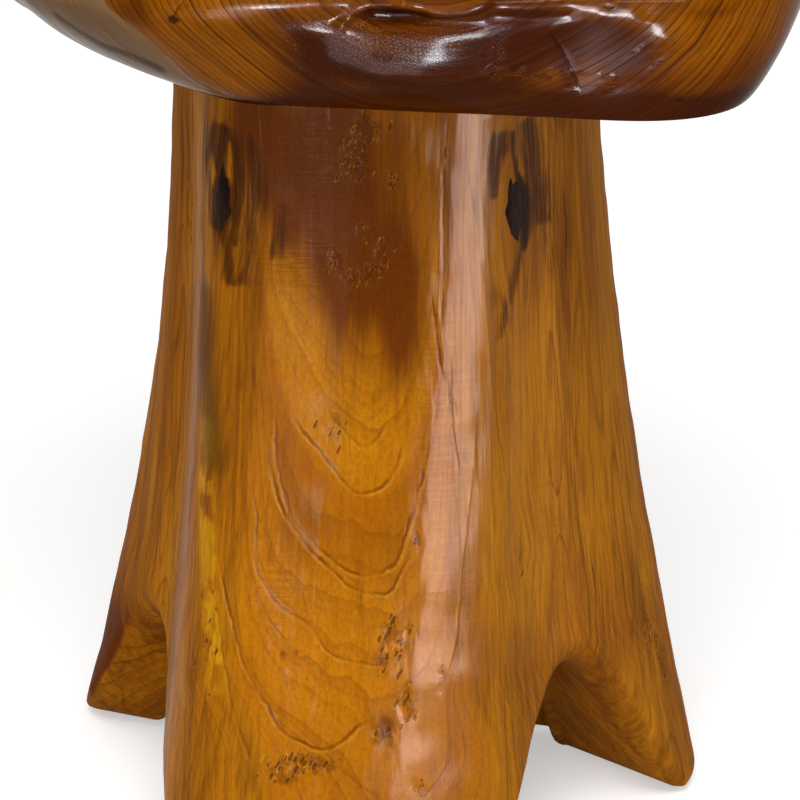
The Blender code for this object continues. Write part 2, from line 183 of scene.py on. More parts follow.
def stump_grid():
    """Points of the stump's skin: its flat top, its side, the soft lower edge, and the hollow beneath."""
    degrees, lip, thickness, softness = (values[:, None] for values in stump_columns().T)
    rim = skin_radius(degrees, stump_top)
    parts = [around(degrees, rim * share, stump_top) for share in (0.3, 0.6, 0.85)]
    for turn in np.linspace(0, math.pi / 2, 4)[:-1]:
        drop = STUMP_RIM_ROUND * (1 - math.cos(turn))
        radius = skin_radius(degrees, stump_top - drop) - STUMP_RIM_ROUND * (1 - math.sin(turn))
        parts.append(around(degrees, radius, stump_top - drop))
    soft = np.minimum(FOOT_EDGE_ROUND + (ARCH_EDGE_ROUND - FOOT_EDGE_ROUND) * softness, thickness / 2)
    sharp = np.minimum(HOLLOW_EDGE_ROUND, thickness / 4)
    high = stump_top - STUMP_RIM_ROUND
    share = np.linspace(0, 1, 206)[None, :]
    side = high + (lip + soft - high) * share
    parts.append(around(degrees + 0 * side, skin_radius(degrees, side), side))
    turn = np.linspace(0, math.pi / 2, 9)[None, 1:]
    side = lip + soft * (1 - np.sin(turn))
    parts.append(around(degrees + 0 * side, skin_radius(degrees, side) - soft * (1 - np.cos(turn)), side))
    inner = skin_radius(degrees, lip) - thickness
    inside = degrees + FLANK_TURN * bell(turn_from(degrees, FLANK_DIRECTION), FLANK_SPREAD)
    turn = np.linspace(0, math.pi / 2, 6)[None, :-1]
    side = lip + sharp * (1 - np.cos(turn))
    parts.append(around(inside + 0 * side, inner + sharp * (1 - np.sin(turn)), side))
    turn = np.linspace(0, math.pi / 2, 17)[None, :-1]
    side = lip + sharp + (HOLLOW_TOP - lip - sharp) * np.sin(turn)
    parts.append(around(inside + 0 * side, inner * np.cos(turn), side))
    return np.concatenate([part.reshape(len(degrees), -1, 3) for part in parts], axis=1)


stump = closed_skin("carved_stump", stump_grid(), (0, 0, stump_top), (0, 0, HOLLOW_TOP))


def places_of(piece):
    spots = np.zeros(len(piece.data.vertices) * 3)
    piece.data.vertices.foreach_get("co", spots)
    return spots.reshape(-1, 3)


def keep_value(piece, name, values):
    """Store a number or a vector at each point of a piece, for its relief and its material."""
    kind = "FLOAT_VECTOR" if values.ndim == 2 else "FLOAT"
    layer = piece.data.attributes.new(name, kind, "POINT")
    layer.data.foreach_set("vector" if values.ndim == 2 else "value", values.astype(np.float32).ravel())
# Dark marks in the wood round the knots: depth of colour, then direction, height and half width in degrees
# at points down each mark. A mark below zero is a paler sliver of wood that was left between them.
KNOT_MARKS = (
    (1.25, ((-133.7, 0.338, 0.8), (-133.5, 0.329, 3.4), (-133.4, 0.32, 4.0), (-133.9, 0.31, 2.4))),
    (0.8, ((-133.5, 0.314, 3.2), (-131.5, 0.301, 2.8), (-129.3, 0.287, 2.2))),
    (0.85, ((-134.0, 0.356, 4.0), (-134.0, 0.351, 7.0), (-135.0, 0.344, 8.0), (-136.5, 0.337, 6.0))),
    (0.8, ((-130.0, 0.35, 2.4), (-128.8, 0.335, 1.9), (-128.8, 0.318, 1.6), (-129.5, 0.305, 1.5))),
    (0.7, ((-140.2, 0.339, 1.8), (-139.0, 0.325, 1.6), (-137.0, 0.31, 1.5))),
    (0.62, ((-125.5, 0.354, 0.8), (-123.7, 0.341, 1.7), (-124.2, 0.325, 2.0), (-126.9, 0.288, 3.0))),
    (0.45, ((-122.8, 0.349, 0.8), (-121.5, 0.335, 0.9), (-121.0, 0.323, 0.8))),
    (0.5, ((-116.5, 0.325, 0.5), (-117.0, 0.316, 1.7), (-118.4, 0.302, 2.0))),
    (-0.7, ((-131.8, 0.348, 0.5), (-131.8, 0.343, 0.9), (-132.2, 0.337, 0.6))),
    (-0.6, ((-138.3, 0.34, 0.6), (-138.0, 0.336, 1.0), (-137.6, 0.331, 0.5))),
    (1.25, (
        (-53.6, 0.337, 0.8), (-51.5, 0.328, 3.3), (-50.6, 0.319, 3.9), (-50.8, 0.309, 2.6),
        (-51.0, 0.302, 1.2),
    )),
    (1.1, ((-55.9, 0.357, 0.7), (-55.4, 0.348, 1.0), (-54.4, 0.338, 0.8))),
    (-0.8, ((-54.2, 0.357, 0.4), (-53.9, 0.348, 0.5), (-53.2, 0.34, 0.4))),
    (0.8, ((-60.5, 0.359, 3.2), (-60.6, 0.352, 3.5), (-61.8, 0.345, 2.2), (-62.5, 0.332, 1.2))),
    (0.72, (
        (-50.5, 0.36, 3.4), (-49.5, 0.35, 4.4), (-47.6, 0.337, 5.2), (-45.4, 0.322, 4.6),
        (-44.0, 0.311, 3.4),
    )),
    (0.5, ((-43.6, 0.315, 1.1), (-43.1, 0.3, 1.1), (-42.6, 0.286, 0.7))),
    (0.62, (
        (-51.6, 0.305, 1.9), (-55.1, 0.292, 2.5), (-57.5, 0.284, 2.3), (-59.8, 0.276, 1.9),
        (-61.5, 0.266, 1.2),
    )),
)
# Where the stump is browner, from stain and from painted shade, paler, torn or rippled: direction, height,
# spread in each, and strength
# The brown zones are brown stain and painted shade: shade in the front's hollow under the seat and on the left
# leg.
BROWN_AND_SHADE_ZONES = (
    (-103, 0.34, 15, 0.04, 1.0), (-98, 0.3, 12, 0.03, 0.7), (-86, 0.3, 7, 0.04, 0.6),
    (-86, 0.272, 6, 0.034, 0.6), (-86, 0.36, 7, 0.02, 0.4), (-116, 0.315, 2.5, 0.01, 0.9),
    (-38, 0.29, 5, 0.05, 0.3), (-108, 0.175, 9, 0.018, 0.35), (-30, 0.075, 9, 0.03, 0.35),
    (-137, 0.255, 4, 0.03, 0.7), (-128, 0.2, 2.5, 0.02, 0.35), (-124, 0.35, 10, 0.024, 0.55),
    (-150, 0.25, 5, 0.06, 0.3), (168, 0.035, 10, 0.035, 1.1), (172, 0.06, 10, 0.035, 0.9),
    (-160, 0.331, 8, 0.04, 0.5), (-89.7, 0.094, 2.2, 0.006, 0.8), (-113, 0.35, 14, 0.032, 0.6),
    (-98, 0.296, 9, 0.022, 0.5), (-128, 0.365, 8, 0.015, 0.5), (-106, 0.33, 6, 0.03, 0.4),
)
PALE_ZONES = (
    (-112, 0.255, 14, 0.05, 0.5), (-97, 0.225, 6, 0.018, 0.9), (-104, 0.11, 10, 0.03, 0.5),
    (-62, 0.3, 4, 0.06, 0.5), (-45, 0.25, 10, 0.05, 0.4), (-55, 0.16, 9, 0.03, 0.5),
    (-121, 0.14, 6, 0.04, 0.5), (-78, 0.36, 3, 0.025, 0.4), (-26, 0.2, 8, 0.06, 0.4),
    (-14, 0.197, 9, 0.07, 1.0), (-20, 0.06, 9, 0.03, 0.7), (-32, 0.18, 7, 0.07, 0.8),
    (-12, 0.14, 4, 0.03, 0.9), (-50, 0.19, 9, 0.08, 0.8), (-155, 0.16, 10, 0.06, 0.5),
    (-64, 0.17, 8, 0.05, 0.7),
)
TORN_PATCHES = (
    (-94, 0.362, 5.0, 0.007, 1.0), (-98, 0.345, 4.5, 0.009, 1.0), (-87.5, 0.339, 2.2, 0.004, 0.9),
    (-103, 0.302, 2.5, 0.006, 0.9), (-98, 0.293, 4.0, 0.004, 1.0), (-92.5, 0.296, 3.0, 0.005, 1.0),
    (-90.5, 0.306, 2.0, 0.006, 0.8), (-95, 0.315, 3.0, 0.005, 0.9), (-102, 0.224, 3.5, 0.011, 0.7),
    (-87.3, 0.135, 3.2, 0.009, 1.1), (-90.1, 0.122, 2.0, 0.007, 0.9), (-85.5, 0.104, 2.0, 0.008, 1.1),
    (-89.7, 0.089, 3.0, 0.005, 1.1), (-78.9, 0.116, 1.4, 0.008, 0.9), (-82.9, 0.178, 0.9, 0.007, 0.9),
    (-105.6, 0.072, 4.5, 0.007, 1.0), (-109.7, 0.066, 3.0, 0.006, 0.9), (-101.1, 0.073, 3.0, 0.003, 0.8),
    (-111.2, 0.119, 1.2, 0.003, 0.8), (-108.5, 0.121, 0.8, 0.002, 0.8), (-83.4, 0.064, 2.0, 0.006, 0.7),
    (-158, 0.314, 1.2, 0.016, 1.0), (-154.5, 0.293, 1.0, 0.012, 0.9), (-150.5, 0.27, 1.0, 0.012, 0.9),
    (-15, 0.1, 1.8, 0.022, 0.9), (-11, 0.078, 1.8, 0.018, 0.8), (-150, 0.13, 1.6, 0.03, 0.8),
    (-128, 0.12, 2.5, 0.03, 0.5), (-74, 0.238, 1.5, 0.006, 0.6), (-56, 0.158, 1.8, 0.009, 0.6),
    (60, 0.16, 6, 0.02, 0.8), (96, 0.28, 6, 0.014, 0.8), (150, 0.15, 4, 0.02, 0.6),
)
RIPPLE_ZONES = (
    (-108, 0.35, 12, 0.026, 1.1), (-112, 0.3, 12, 0.016, 1.0), (-60, 0.35, 8, 0.03, 0.4),
    (-76, 0.22, 7, 0.08, 0.6), (-114, 0.15, 6, 0.02, 0.5), (-44, 0.18, 10, 0.04, 0.4),
    (120, 0.3, 20, 0.05, 0.7), (20, 0.26, 14, 0.04, 0.6),
)
# Drying checks, as their points from top to bottom, in direction and height
CHECKS = (
    ((-73.6, 0.372), (-75.2, 0.34), (-75.6, 0.3), (-76.6, 0.274)),
    ((-78.4, 0.29), (-77.0, 0.262), (-76.2, 0.247)),
    ((-74.4, 0.262), (-74.8, 0.24), (-73.0, 0.205)),
    ((-56.0, 0.356), (-55.2, 0.347), (-54.6, 0.338)),
    ((-37.8, 0.34), (-36.6, 0.322), (-36.0, 0.308), (-36.7, 0.276)),
    ((-41.6, 0.318), (-40.9, 0.3), (-40.3, 0.282)),
    ((-159.0, 0.322), (-158.0, 0.3), (-152.0, 0.286)),
    ((-161.0, 0.272), (-160.0, 0.258), (-159.0, 0.24)),
    ((-33.5, 0.15), (-32.8, 0.12), (-33.6, 0.085)),
    ((40.0, 0.36), (42.0, 0.3), (41.0, 0.24)),
    ((112.0, 0.32), (110.0, 0.26), (113.0, 0.19)),
    ((170.0, 0.38), (168.0, 0.33), (171.0, 0.28)),
)
# A line of bright gold grain down the left of the front, and an olive one above it
GILT_LINE = ((-134.5, 0.215), (-133.4, 0.195), (-128.5, 0.1385), (-124.9, 0.103))
OLIVE_LINE = ((-138.5, 0.275), (-136.5, 0.245), (-131.5, 0.205))
# Faint growth layers on the front, as the height where each U-shaped line turns, and how strong
FIGURE_LINES = ((0.235, 0.2), (0.229, 0.25), (0.21, 0.2), (0.137, 0.2), (0.104, 0.25), (0.056, 0.3))
# Ledges of growth layers cut open on the front: how strong, then the line's points
LAYER_EDGES = (
    (1.0, (
        (-113.7, 0.2316), (-111.0, 0.225), (-108.0, 0.2176), (-105.9, 0.214), (-103.1, 0.2078),
        (-99.9, 0.2012), (-97.8, 0.198), (-95.2, 0.1965), (-92.3, 0.1978), (-89.9, 0.2016), (-88.0, 0.2071),
        (-86.6, 0.2141), (-85.4, 0.222),
    )),
    (0.8, (
        (-116.9, 0.241), (-116.0, 0.2256), (-116.0, 0.2122), (-114.8, 0.2027), (-112.8, 0.1896),
        (-110.9, 0.1811), (-108.3, 0.1758), (-104.8, 0.1697), (-101.7, 0.1648), (-98.2, 0.1611),
        (-94.0, 0.16), (-90.8, 0.1622), (-88.1, 0.1661), (-86.8, 0.1711), (-85.5, 0.179), (-83.6, 0.1923),
        (-81.7, 0.2076), (-80.2, 0.2211), (-79.1, 0.2362),
    )),
    (0.7, (
        (-120.6, 0.1961), (-119.1, 0.1809), (-118.5, 0.1618), (-116.8, 0.1526), (-113.8, 0.1436),
        (-110.4, 0.1385), (-107.1, 0.1354), (-104.7, 0.1313), (-102.2, 0.1245), (-98.1, 0.1211),
        (-93.7, 0.1207), (-90.3, 0.1209),
    )),
    (0.9, (
        (-128.8, 0.1695), (-126.3, 0.1551), (-124.2, 0.1425), (-122.1, 0.1298), (-119.1, 0.1136),
        (-116.1, 0.103), (-112.6, 0.0927), (-110.2, 0.0859), (-105.8, 0.0816), (-102.4, 0.0799),
        (-99.1, 0.0828), (-96.3, 0.0884), (-95.1, 0.0925), (-92.7, 0.095),
    )),
    (0.4, (
        (-68.5, 0.2377), (-68.8, 0.2185), (-70.2, 0.2017), (-71.5, 0.1846), (-72.7, 0.1695), (-73.4, 0.1582),
        (-74.1, 0.143), (-75.3, 0.1279), (-77.2, 0.117), (-79.9, 0.1085),
    )),
)
# More such lines between those, so that a spot can lie near one line of each table
LAYER_ECHOES = (
    (1.0, (
        (-118.2, 0.2197), (-116.7, 0.2025), (-114.4, 0.1894), (-112.9, 0.1844), (-111.3, 0.1792),
        (-108.7, 0.172), (-105.7, 0.1668), (-101.6, 0.1601), (-97.7, 0.1547), (-93.9, 0.1526),
        (-90.3, 0.1525), (-88.2, 0.1558), (-86.9, 0.1618), (-85.5, 0.1678), (-84.2, 0.1754),
    )),
    (0.5, (
        (-104.2, 0.2341), (-102.5, 0.2287), (-99.2, 0.2227), (-96.5, 0.2186), (-94.9, 0.2172),
        (-91.9, 0.2211), (-89.6, 0.2285),
    )),
    (0.4, ((-115.3, 0.1366), (-112.3, 0.1297), (-110.0, 0.1254))),
    (0.5, ((-127.7, 0.1484), (-124.7, 0.1228), (-121.7, 0.1008), (-118.6, 0.083), (-115.4, 0.0691))),
    (0.4, ((-77.1, 0.2512), (-78.2, 0.2363), (-79.8, 0.2211), (-81.3, 0.2058), (-83.2, 0.1906))),
)
# Directions of the middle of the growth layers' U shapes, and of the front's middle
FIGURE_MIDDLE = -94
FRONT_MIDDLE = -98
# Direction and height of the two filled knots
LEFT_KNOT = (-133.5, 0.3227)
RIGHT_KNOT = (-55, 0.3222)
# What is stored as the distance to a line where none is near
FAR_OFF = 0.02


def patches(degrees, height, table):
    """Soft spots from a table of direction, height, spread in each, and strength."""
    total = 0 * degrees
    for direction, middle, spread, fade, strength in table:
        total = total + strength * bell(turn_from(degrees, direction), spread) * bell(height - middle, fade)
    return total


def marks(degrees, height, table):
    """Strokes laid down the wood, each as wide as its points say."""
    total = 0 * degrees
    for depth, points in table:
        direction, level, width = np.array(points[::-1]).T
        line = np.interp(height, level, direction)
        ends = ease(level[0] - 0.004, level[0], height) * ease(level[-1] + 0.004, level[-1], height)
        stroke = depth * ends * bell(turn_from(degrees, line) / np.interp(height, level, width), 1.25)
        total = np.maximum(total, stroke) if depth > 0 else total + stroke
    return total


def line_distance(degrees, height, radius, points):
    """Distance on the wood's surface to a line drawn through points given as direction and height."""
    nearest = np.full(len(degrees), 1.0)
    for (first, low), (second, high) in zip(points, points[1:]):
        along = np.radians(turn_from(degrees, first)) * radius
        reach = math.radians(turn_from(second, first)) * radius
        climb = high - low
        share = np.clip((along * reach + (height - low) * climb) / (reach**2 + climb**2), 0, 1)
        nearest = np.minimum(nearest, np.hypot(along - reach * share, height - low - climb * share))
    return nearest


def curve_through(points, steps=6):
    """More points, on a smooth curve through the given ones."""
    ends = np.array((points[0], *points, points[-1]))
    curve = []
    for before, start, end, after in zip(ends, ends[1:], ends[2:], ends[3:]):
        for part in np.arange(steps) / steps:
            bend = 2 * before - 5 * start + 4 * end - after + part * (3 * (start - end) + after - before)
            curve.append(start + part / 2 * (end - before + part * bend))
    return curve + [ends[-1]]


def layer_lines(degrees, height, radius, table):
    """Signed distance to the nearest drawn line, above zero inside its bend, and how strong that line is."""
    side = np.full(len(degrees), FAR_OFF)
    on = 0 * degrees
    for strength, points in table:
        curve = curve_through(points)
        for index, ((first, low), (second, high)) in enumerate(zip(curve, curve[1:])):
            along = np.radians(turn_from(degrees, first)) * radius
            reach = math.radians(second - first) * radius
            climb = high - low
            share = np.clip((along * reach + (height - low) * climb) / (reach**2 + climb**2), 0, 1)
            gap = np.hypot(along - reach * share, height - low - climb * share)
            turn = np.sign(reach * (height - low) - climb * along)
            part = (index + share) / (len(curve) - 1)
            ends = ease(0, 0.12, part) * ease(1, 0.9, part)
            closer = gap < np.abs(side)
            side = np.where(closer, turn * gap, side)
            on = np.where(closer, strength * ends, on)
    return side, on * bell(side, 0.0045)


# How steeply the growth layers climb to the sides, by height, and how far round they bend evenly
SLANT_HEIGHTS = (0.05, 0.09, 0.12, 0.165, 0.21, 0.26)
SLANTS = (0.0014, 0.0012, 0.0003, 0.0002, 0.0011, 0.0016)
FIGURE_SPAN = 26


def figure_rise(away, height):
    """How far a growth layer climbs from its lowest point, so many degrees to the side."""
    side = np.where(away > 0, 1.5 * away, -away)
    side = np.sqrt(side**2 + 6) - math.sqrt(6)
    slant = np.interp(height, SLANT_HEIGHTS, SLANTS)
    near = np.minimum(side, FIGURE_SPAN)
    rise = slant * side + 0.00004 * near**2 + 0.009 * (near / 20) ** 6
    return rise + 0.022 * np.maximum(side - FIGURE_SPAN, 0)


def check_lines(degrees, height, radius, table, low_fade, high_fade):
    """Distance round the piece to the nearest drying check, and how far that check is open."""
    nearest = np.full(len(height), FAR_OFF)
    opened = 0 * height
    for points in table:
        direction, level = np.array(points[::-1]).T
        side = np.radians(turn_from(degrees, np.interp(height, level, direction))) * radius
        on = ease(level[0] - 0.002, level[0] + low_fade, height) * bell(side, 0.003)
        on = on * ease(level[-1] + 0.002, level[-1] - high_fade, height)
        closer = np.abs(side) < np.abs(nearest)
        nearest = np.where(closer, side, nearest)
        opened = np.where(closer, on, opened)
    return nearest, opened


spots = places_of(stump)
stump_degrees = np.degrees(np.arctan2(spots[:, 1], spots[:, 0]))
stump_height = spots[:, 2]
stump_radius = np.hypot(spots[:, 0], spots[:, 1])
on_stump = (stump_degrees, stump_height, stump_radius)
outside = ease(-0.004, -0.001, stump_radius - skin_radius(stump_degrees, stump_height))
outside = outside * ease(stump_top + 0.001, stump_top - 0.004, stump_height)

# The fibres bend round each knot and round a small one lower down. Across the trunk they are drawn together.
FIBRE_BEND = 0.75
FIBRE_RADIUS = 0.11
bent = stump_degrees.copy()
for direction, height, width, length in ((*LEFT_KNOT, 7, 0.03), (*RIGHT_KNOT, 8, 0.032), (-56, 0.16, 6, 0.014)):
    away = turn_from(stump_degrees, direction)
    bent = bent - away * FIBRE_BEND * bell(away, width) * bell(stump_height - height, length)
keep_value(stump, "fibre", around(bent, FIBRE_RADIUS + 0.5 * (stump_radius - FIBRE_RADIUS), stump_height))

# One growth layer is this high on the front, and this many degrees wide and this deep on the flanks
LAYER_HEIGHT = 0.016
LAYER_TURN = 2.6
LAYER_DEPTH = 0.009
away = turn_from(bent, FIGURE_MIDDLE + 8 * ease(0.11, 0.07, stump_height))
figure = stump_height - figure_rise(away, stump_height)
carved = stump_radius - plain_radius(0 * bent, stump_height)
weight = ease(84, 44, np.abs(away))
flank = away / LAYER_TURN + carved / LAYER_DEPTH
keep_value(stump, "layer", weight * figure / LAYER_HEIGHT + (1 - weight) * flank)
keep_value(stump, "figure", figure)
keep_value(stump, "front", ease(30, 23, np.where(away > 0, 1.5 * away, -away)) * outside)

keep_value(stump, "stain", marks(stump_degrees, stump_height, KNOT_MARKS) * outside)
# the brown zones carry brown stain and painted shade alike
for name, table in (("brown_and_shade", BROWN_AND_SHADE_ZONES), ("pale", PALE_ZONES), ("ripple", RIPPLE_ZONES)):
    keep_value(stump, name, patches(stump_degrees, stump_height, table) * outside)
keep_value(stump, "torn", np.clip(patches(stump_degrees, stump_height, TORN_PATCHES), 0, 1) * outside)
for name, points, width in (("gilt", GILT_LINE, 0.0065), ("olive", OLIVE_LINE, 0.0085)):
    keep_value(stump, name, bell(line_distance(*on_stump, points), width) * outside)
from_front = np.abs(turn_from(stump_degrees, FRONT_MIDDLE))
keep_value(stump, "satin", ease(38, 62, from_front) * outside + 1 - outside)

check_side, check_on = check_lines(*on_stump, CHECKS, 0.012, 0.008)
check_on = check_on * outside
keep_value(stump, "check_side", check_side)
keep_value(stump, "check_on", check_on)

LEDGE_RISE = 0.00018
ledge = -0.0004 * check_on * bell(check_side, 0.0006)
face = np.flatnonzero((from_front < 42) * (outside > 0))
for name, table in (("edge", LAYER_EDGES), ("echo", LAYER_ECHOES)):
    side = np.full(len(spots), FAR_OFF)
    on = np.zeros(len(spots))
    side[face], on[face] = layer_lines(stump_degrees[face], stump_height[face], stump_radius[face], table)
    keep_value(stump, name + "_side", side)
    keep_value(stump, name + "_on", on)
    ledge = ledge - LEDGE_RISE * on * np.tanh(side / 0.0007)
keep_value(stump, "ledge", ledge)

# The surface is calm round the knot fills, on a sanded patch between them, and in the hollow
calm = 0.8 * bell(turn_from(stump_degrees, -103), 13) * bell(stump_height - 0.32, 0.07)
for direction, height in (LEFT_KNOT, RIGHT_KNOT):
    near = bell(turn_from(stump_degrees, direction), 5) * bell(stump_height - height, 0.026)
    calm = np.maximum(calm, ease(0.15, 0.5, near))
keep_value(stump, "calm", np.maximum(calm, 1 - outside * 0.999))


class Nodes:
    """A short way to lay out a node tree: most calls add one node and give back its output."""

    def __init__(self, tree):
        self.tree = tree

    def all_of(self, kind, settings=None, inputs=None):
        node = self.tree.nodes.new(kind)
        for name, value in (settings or {}).items():
            setattr(node, name, value)
        for name, value in (inputs or {}).items():
            if isinstance(value, bpy.types.NodeSocket):
                self.tree.links.new(value, node.inputs[name])
            else:
                node.inputs[name].default_value = value
        return node.outputs

    def add(self, kind, settings=None, inputs=None, out=0):
        return self.all_of(kind, settings, inputs)[out]

    def place(self, group, inputs):
        """Put in a shader node group, and give back its outputs by name."""
        return self.all_of("ShaderNodeGroup", {"node_tree": group}, inputs)

    def math(self, operation, *values, clamp=False):
        return self.add("ShaderNodeMath", {"operation": operation, "use_clamp": clamp}, dict(enumerate(values)))

    def times(self, first, last):
        return self.math("MULTIPLY", first, last)

    def plus(self, value, more, share):
        """A value and a share of another."""
        return self.math("MULTIPLY_ADD", more, share, value)

    def ruffle(self, value, noise, share):
        """A value made uneven by a share of a noise, which wanders round a half."""
        return self.plus(value, self.math("SUBTRACT", noise, 0.5), share)

    def vector(self, operation, first, last):
        return self.add("ShaderNodeVectorMath", {"operation": operation}, {0: first, 1: last})

    def noise(self, vector, scales, detail=2.0, roughness=0.5):
        place = self.vector("MULTIPLY", vector, scales)
        inputs = {"Vector": place, "Scale": 1.0, "Detail": detail, "Roughness": roughness}
        return self.add("ShaderNodeTexNoise", None, inputs)

    def step(self, value, low, high, first=0.0, last=1.0):
        inputs = {"Value": value, "From Min": low, "From Max": high, "To Min": first, "To Max": last}
        return self.add("ShaderNodeMapRange", {"interpolation_type": "SMOOTHSTEP"}, inputs)

    def blend(self, share, first, last):
        ends = [(*end, 1) if isinstance(end, tuple) else end for end in (first, last)]
        return self.add("ShaderNodeMix", {"data_type": "RGBA"}, {0: share, 6: ends[0], 7: ends[1]}, out=2)

    def tint(self, tone, mask, share, shade):
        """A tone, with a share of another colour where the mask is on."""
        return self.blend(self.times(mask, share), tone, shade)

    def read(self, name, out="Fac"):
        return self.add("ShaderNodeAttribute", {"attribute_name": name}, out=out)


def new_group(name, kind, given, wanted):
    """A node group with named inputs and outputs, each with the kind of its socket."""
    tree = bpy.data.node_groups.new(name, kind)
    for way, sockets in (("INPUT", given), ("OUTPUT", wanted)):
        for socket, sort in sockets.items():
            tree.interface.new_socket(socket, in_out=way, socket_type="NodeSocket" + sort)
    return Nodes(tree), tree.nodes.new("NodeGroupInput").outputs


def put_out(make, values):
    ends = make.tree.nodes.new("NodeGroupOutput").inputs
    for name, value in values.items():
        make.tree.links.new(value, ends[name])
    return make.tree


def worked_wood_tree():
    """Relief of hand-worked wood: tool waves, fibre grooves, torn pits and the ledges of growth layers."""
    numbers = ("Tool wave depth", "Tool wave length", "Groove depth", "Torn depth", "Torn width")
    sockets = {"Geometry": "Geometry", **dict.fromkeys(numbers, "Float"), "Wood": "Material"}
    make, given = new_group("worked wood relief", "GeometryNodeTree", sockets, {"Geometry": "Geometry"})
    fibre, torn, ledge, calm = (
        make.add("GeometryNodeInputNamedAttribute", {"data_type": sort}, {"Name": name})
        for name, sort in (("fibre", "FLOAT_VECTOR"), ("torn", "FLOAT"), ("ledge", "FLOAT"), ("calm", "FLOAT"))
    )
    waves = make.vector("DIVIDE", make.add("GeometryNodeInputPosition"), given["Tool wave length"])
    wave = make.add("ShaderNodeTexNoise", None, {"Vector": waves, "Scale": 1.0, "Detail": 1.0})
    cells = make.noise(make.vector("DIVIDE", fibre, given["Torn width"]), (1, 1, 0.42), 1.5, 0.6)
    pit = make.times(make.step(cells, 0.46, 0.6), make.step(torn, 0.12, 0.55))
    relief = make.times(make.math("SUBTRACT", wave, 0.5), given["Tool wave depth"])
    relief = make.ruffle(relief, make.noise(fibre, (260, 260, 16)), given["Groove depth"])
    relief = make.math("SUBTRACT", relief, make.times(pit, given["Torn depth"]))
    relief = make.times(make.math("ADD", relief, ledge), make.math("SUBTRACT", 1.0, calm))
    normal = make.add("GeometryNodeInputNormal")
    shift = make.add("ShaderNodeVectorMath", {"operation": "SCALE"}, {0: normal, "Scale": relief})
    moved = make.add("GeometryNodeSetPosition", None, {"Geometry": given["Geometry"], "Offset": shift})
    whole = make.add("GeometryNodeRealizeInstances", None, {"Geometry": moved})
    dressed = make.add("GeometryNodeSetMaterial", None, {"Geometry": whole, "Material": given["Wood"]})
    return put_out(make, {"Geometry": make.add("GeometryNodeSetShadeSmooth", None, {"Geometry": dressed})})


RELIEF = worked_wood_tree()


def shape(piece, wave, groove, torn_width, wood):
    """Give a piece the relief of worked wood and its material, and keep the result as its plain mesh."""
    sockets = {item.name: item.identifier for item in RELIEF.interface.items_tree if item.in_out == "INPUT"}
    modifier = piece.modifiers.new("relief", "NODES")
    modifier.node_group = RELIEF
    for name, value in (
        ("Tool wave depth", wave), ("Tool wave length", 0.034), ("Groove depth", groove),
        ("Torn depth", 0.0004), ("Torn width", torn_width), ("Wood", wood),
    ):
        modifier[sockets[name]] = value
    depsgraph = bpy.context.evaluated_depsgraph_get()
    mesh = bpy.data.meshes.new_from_object(piece.evaluated_get(depsgraph))
    piece.modifiers.clear()
    mesh.name = piece.name
    piece.data = mesh


def fibre_group():
    """Streaks along the fibres, from broad bands to pores, shared by every wooden piece."""
    wanted = dict.fromkeys(("Broad", "Streak", "Line", "Fine", "Pores"), "Float")
    make, given = new_group("wood fibres", "ShaderNodeTree", {"Fibre": "Vector"}, wanted)
    fibre = given["Fibre"]
    middle = make.math("ABSOLUTE", make.math("SUBTRACT", make.noise(fibre, (52, 52, 3.5), 1.0), 0.5))
    return put_out(make, {
        "Broad": make.noise(fibre, (16, 16, 4)),
        "Streak": make.noise(fibre, (85, 85, 5), 3.0, 0.55),
        "Line": make.step(middle, 0.0, 0.016, 1.0, 0.0),
        "Fine": make.noise(fibre, (520, 520, 22), 3.0, 0.6),
        "Pores": make.step(make.noise(fibre, (1500, 1500, 95), 1.0), 0.6, 0.72),
    })


def ring_group():
    """Growth rings from a layer coordinate: each ring darkens slowly and ends in a sharp dark edge."""
    sockets = {"Layer": "Float", "Fibre": "Vector", "Wander": "Float", "Weakest": "Float"}
    wanted = dict.fromkeys(("Edge", "Shade", "Tint"), "Float")
    make, given = new_group("growth rings", "ShaderNodeTree", sockets, wanted)
    layer = make.ruffle(given["Layer"], make.noise(given["Fibre"], (26, 26, 7)), given["Wander"])
    layer = make.ruffle(layer, make.noise(given["Fibre"], (240, 240, 60)), 0.22)
    ring = make.math("FLOOR", layer)
    part = make.math("FRACT", layer)
    chance, other, after = (
        make.add("ShaderNodeTexWhiteNoise", {"noise_dimensions": "1D"}, {"W": number})
        for number in (ring, make.math("ADD", ring, 0.37), make.math("ADD", ring, 1.37))
    )
    strong = make.step(chance, 0.15, 0.85, given["Weakest"], 1.0)
    return put_out(make, {
        "Edge": make.times(make.step(part, 0.8, 0.98), strong),
        "Shade": make.times(make.math("POWER", part, 2.0), strong),
        "Tint": make.plus(other, make.math("SUBTRACT", after, other), make.step(part, 0.7, 1.0)),
    })


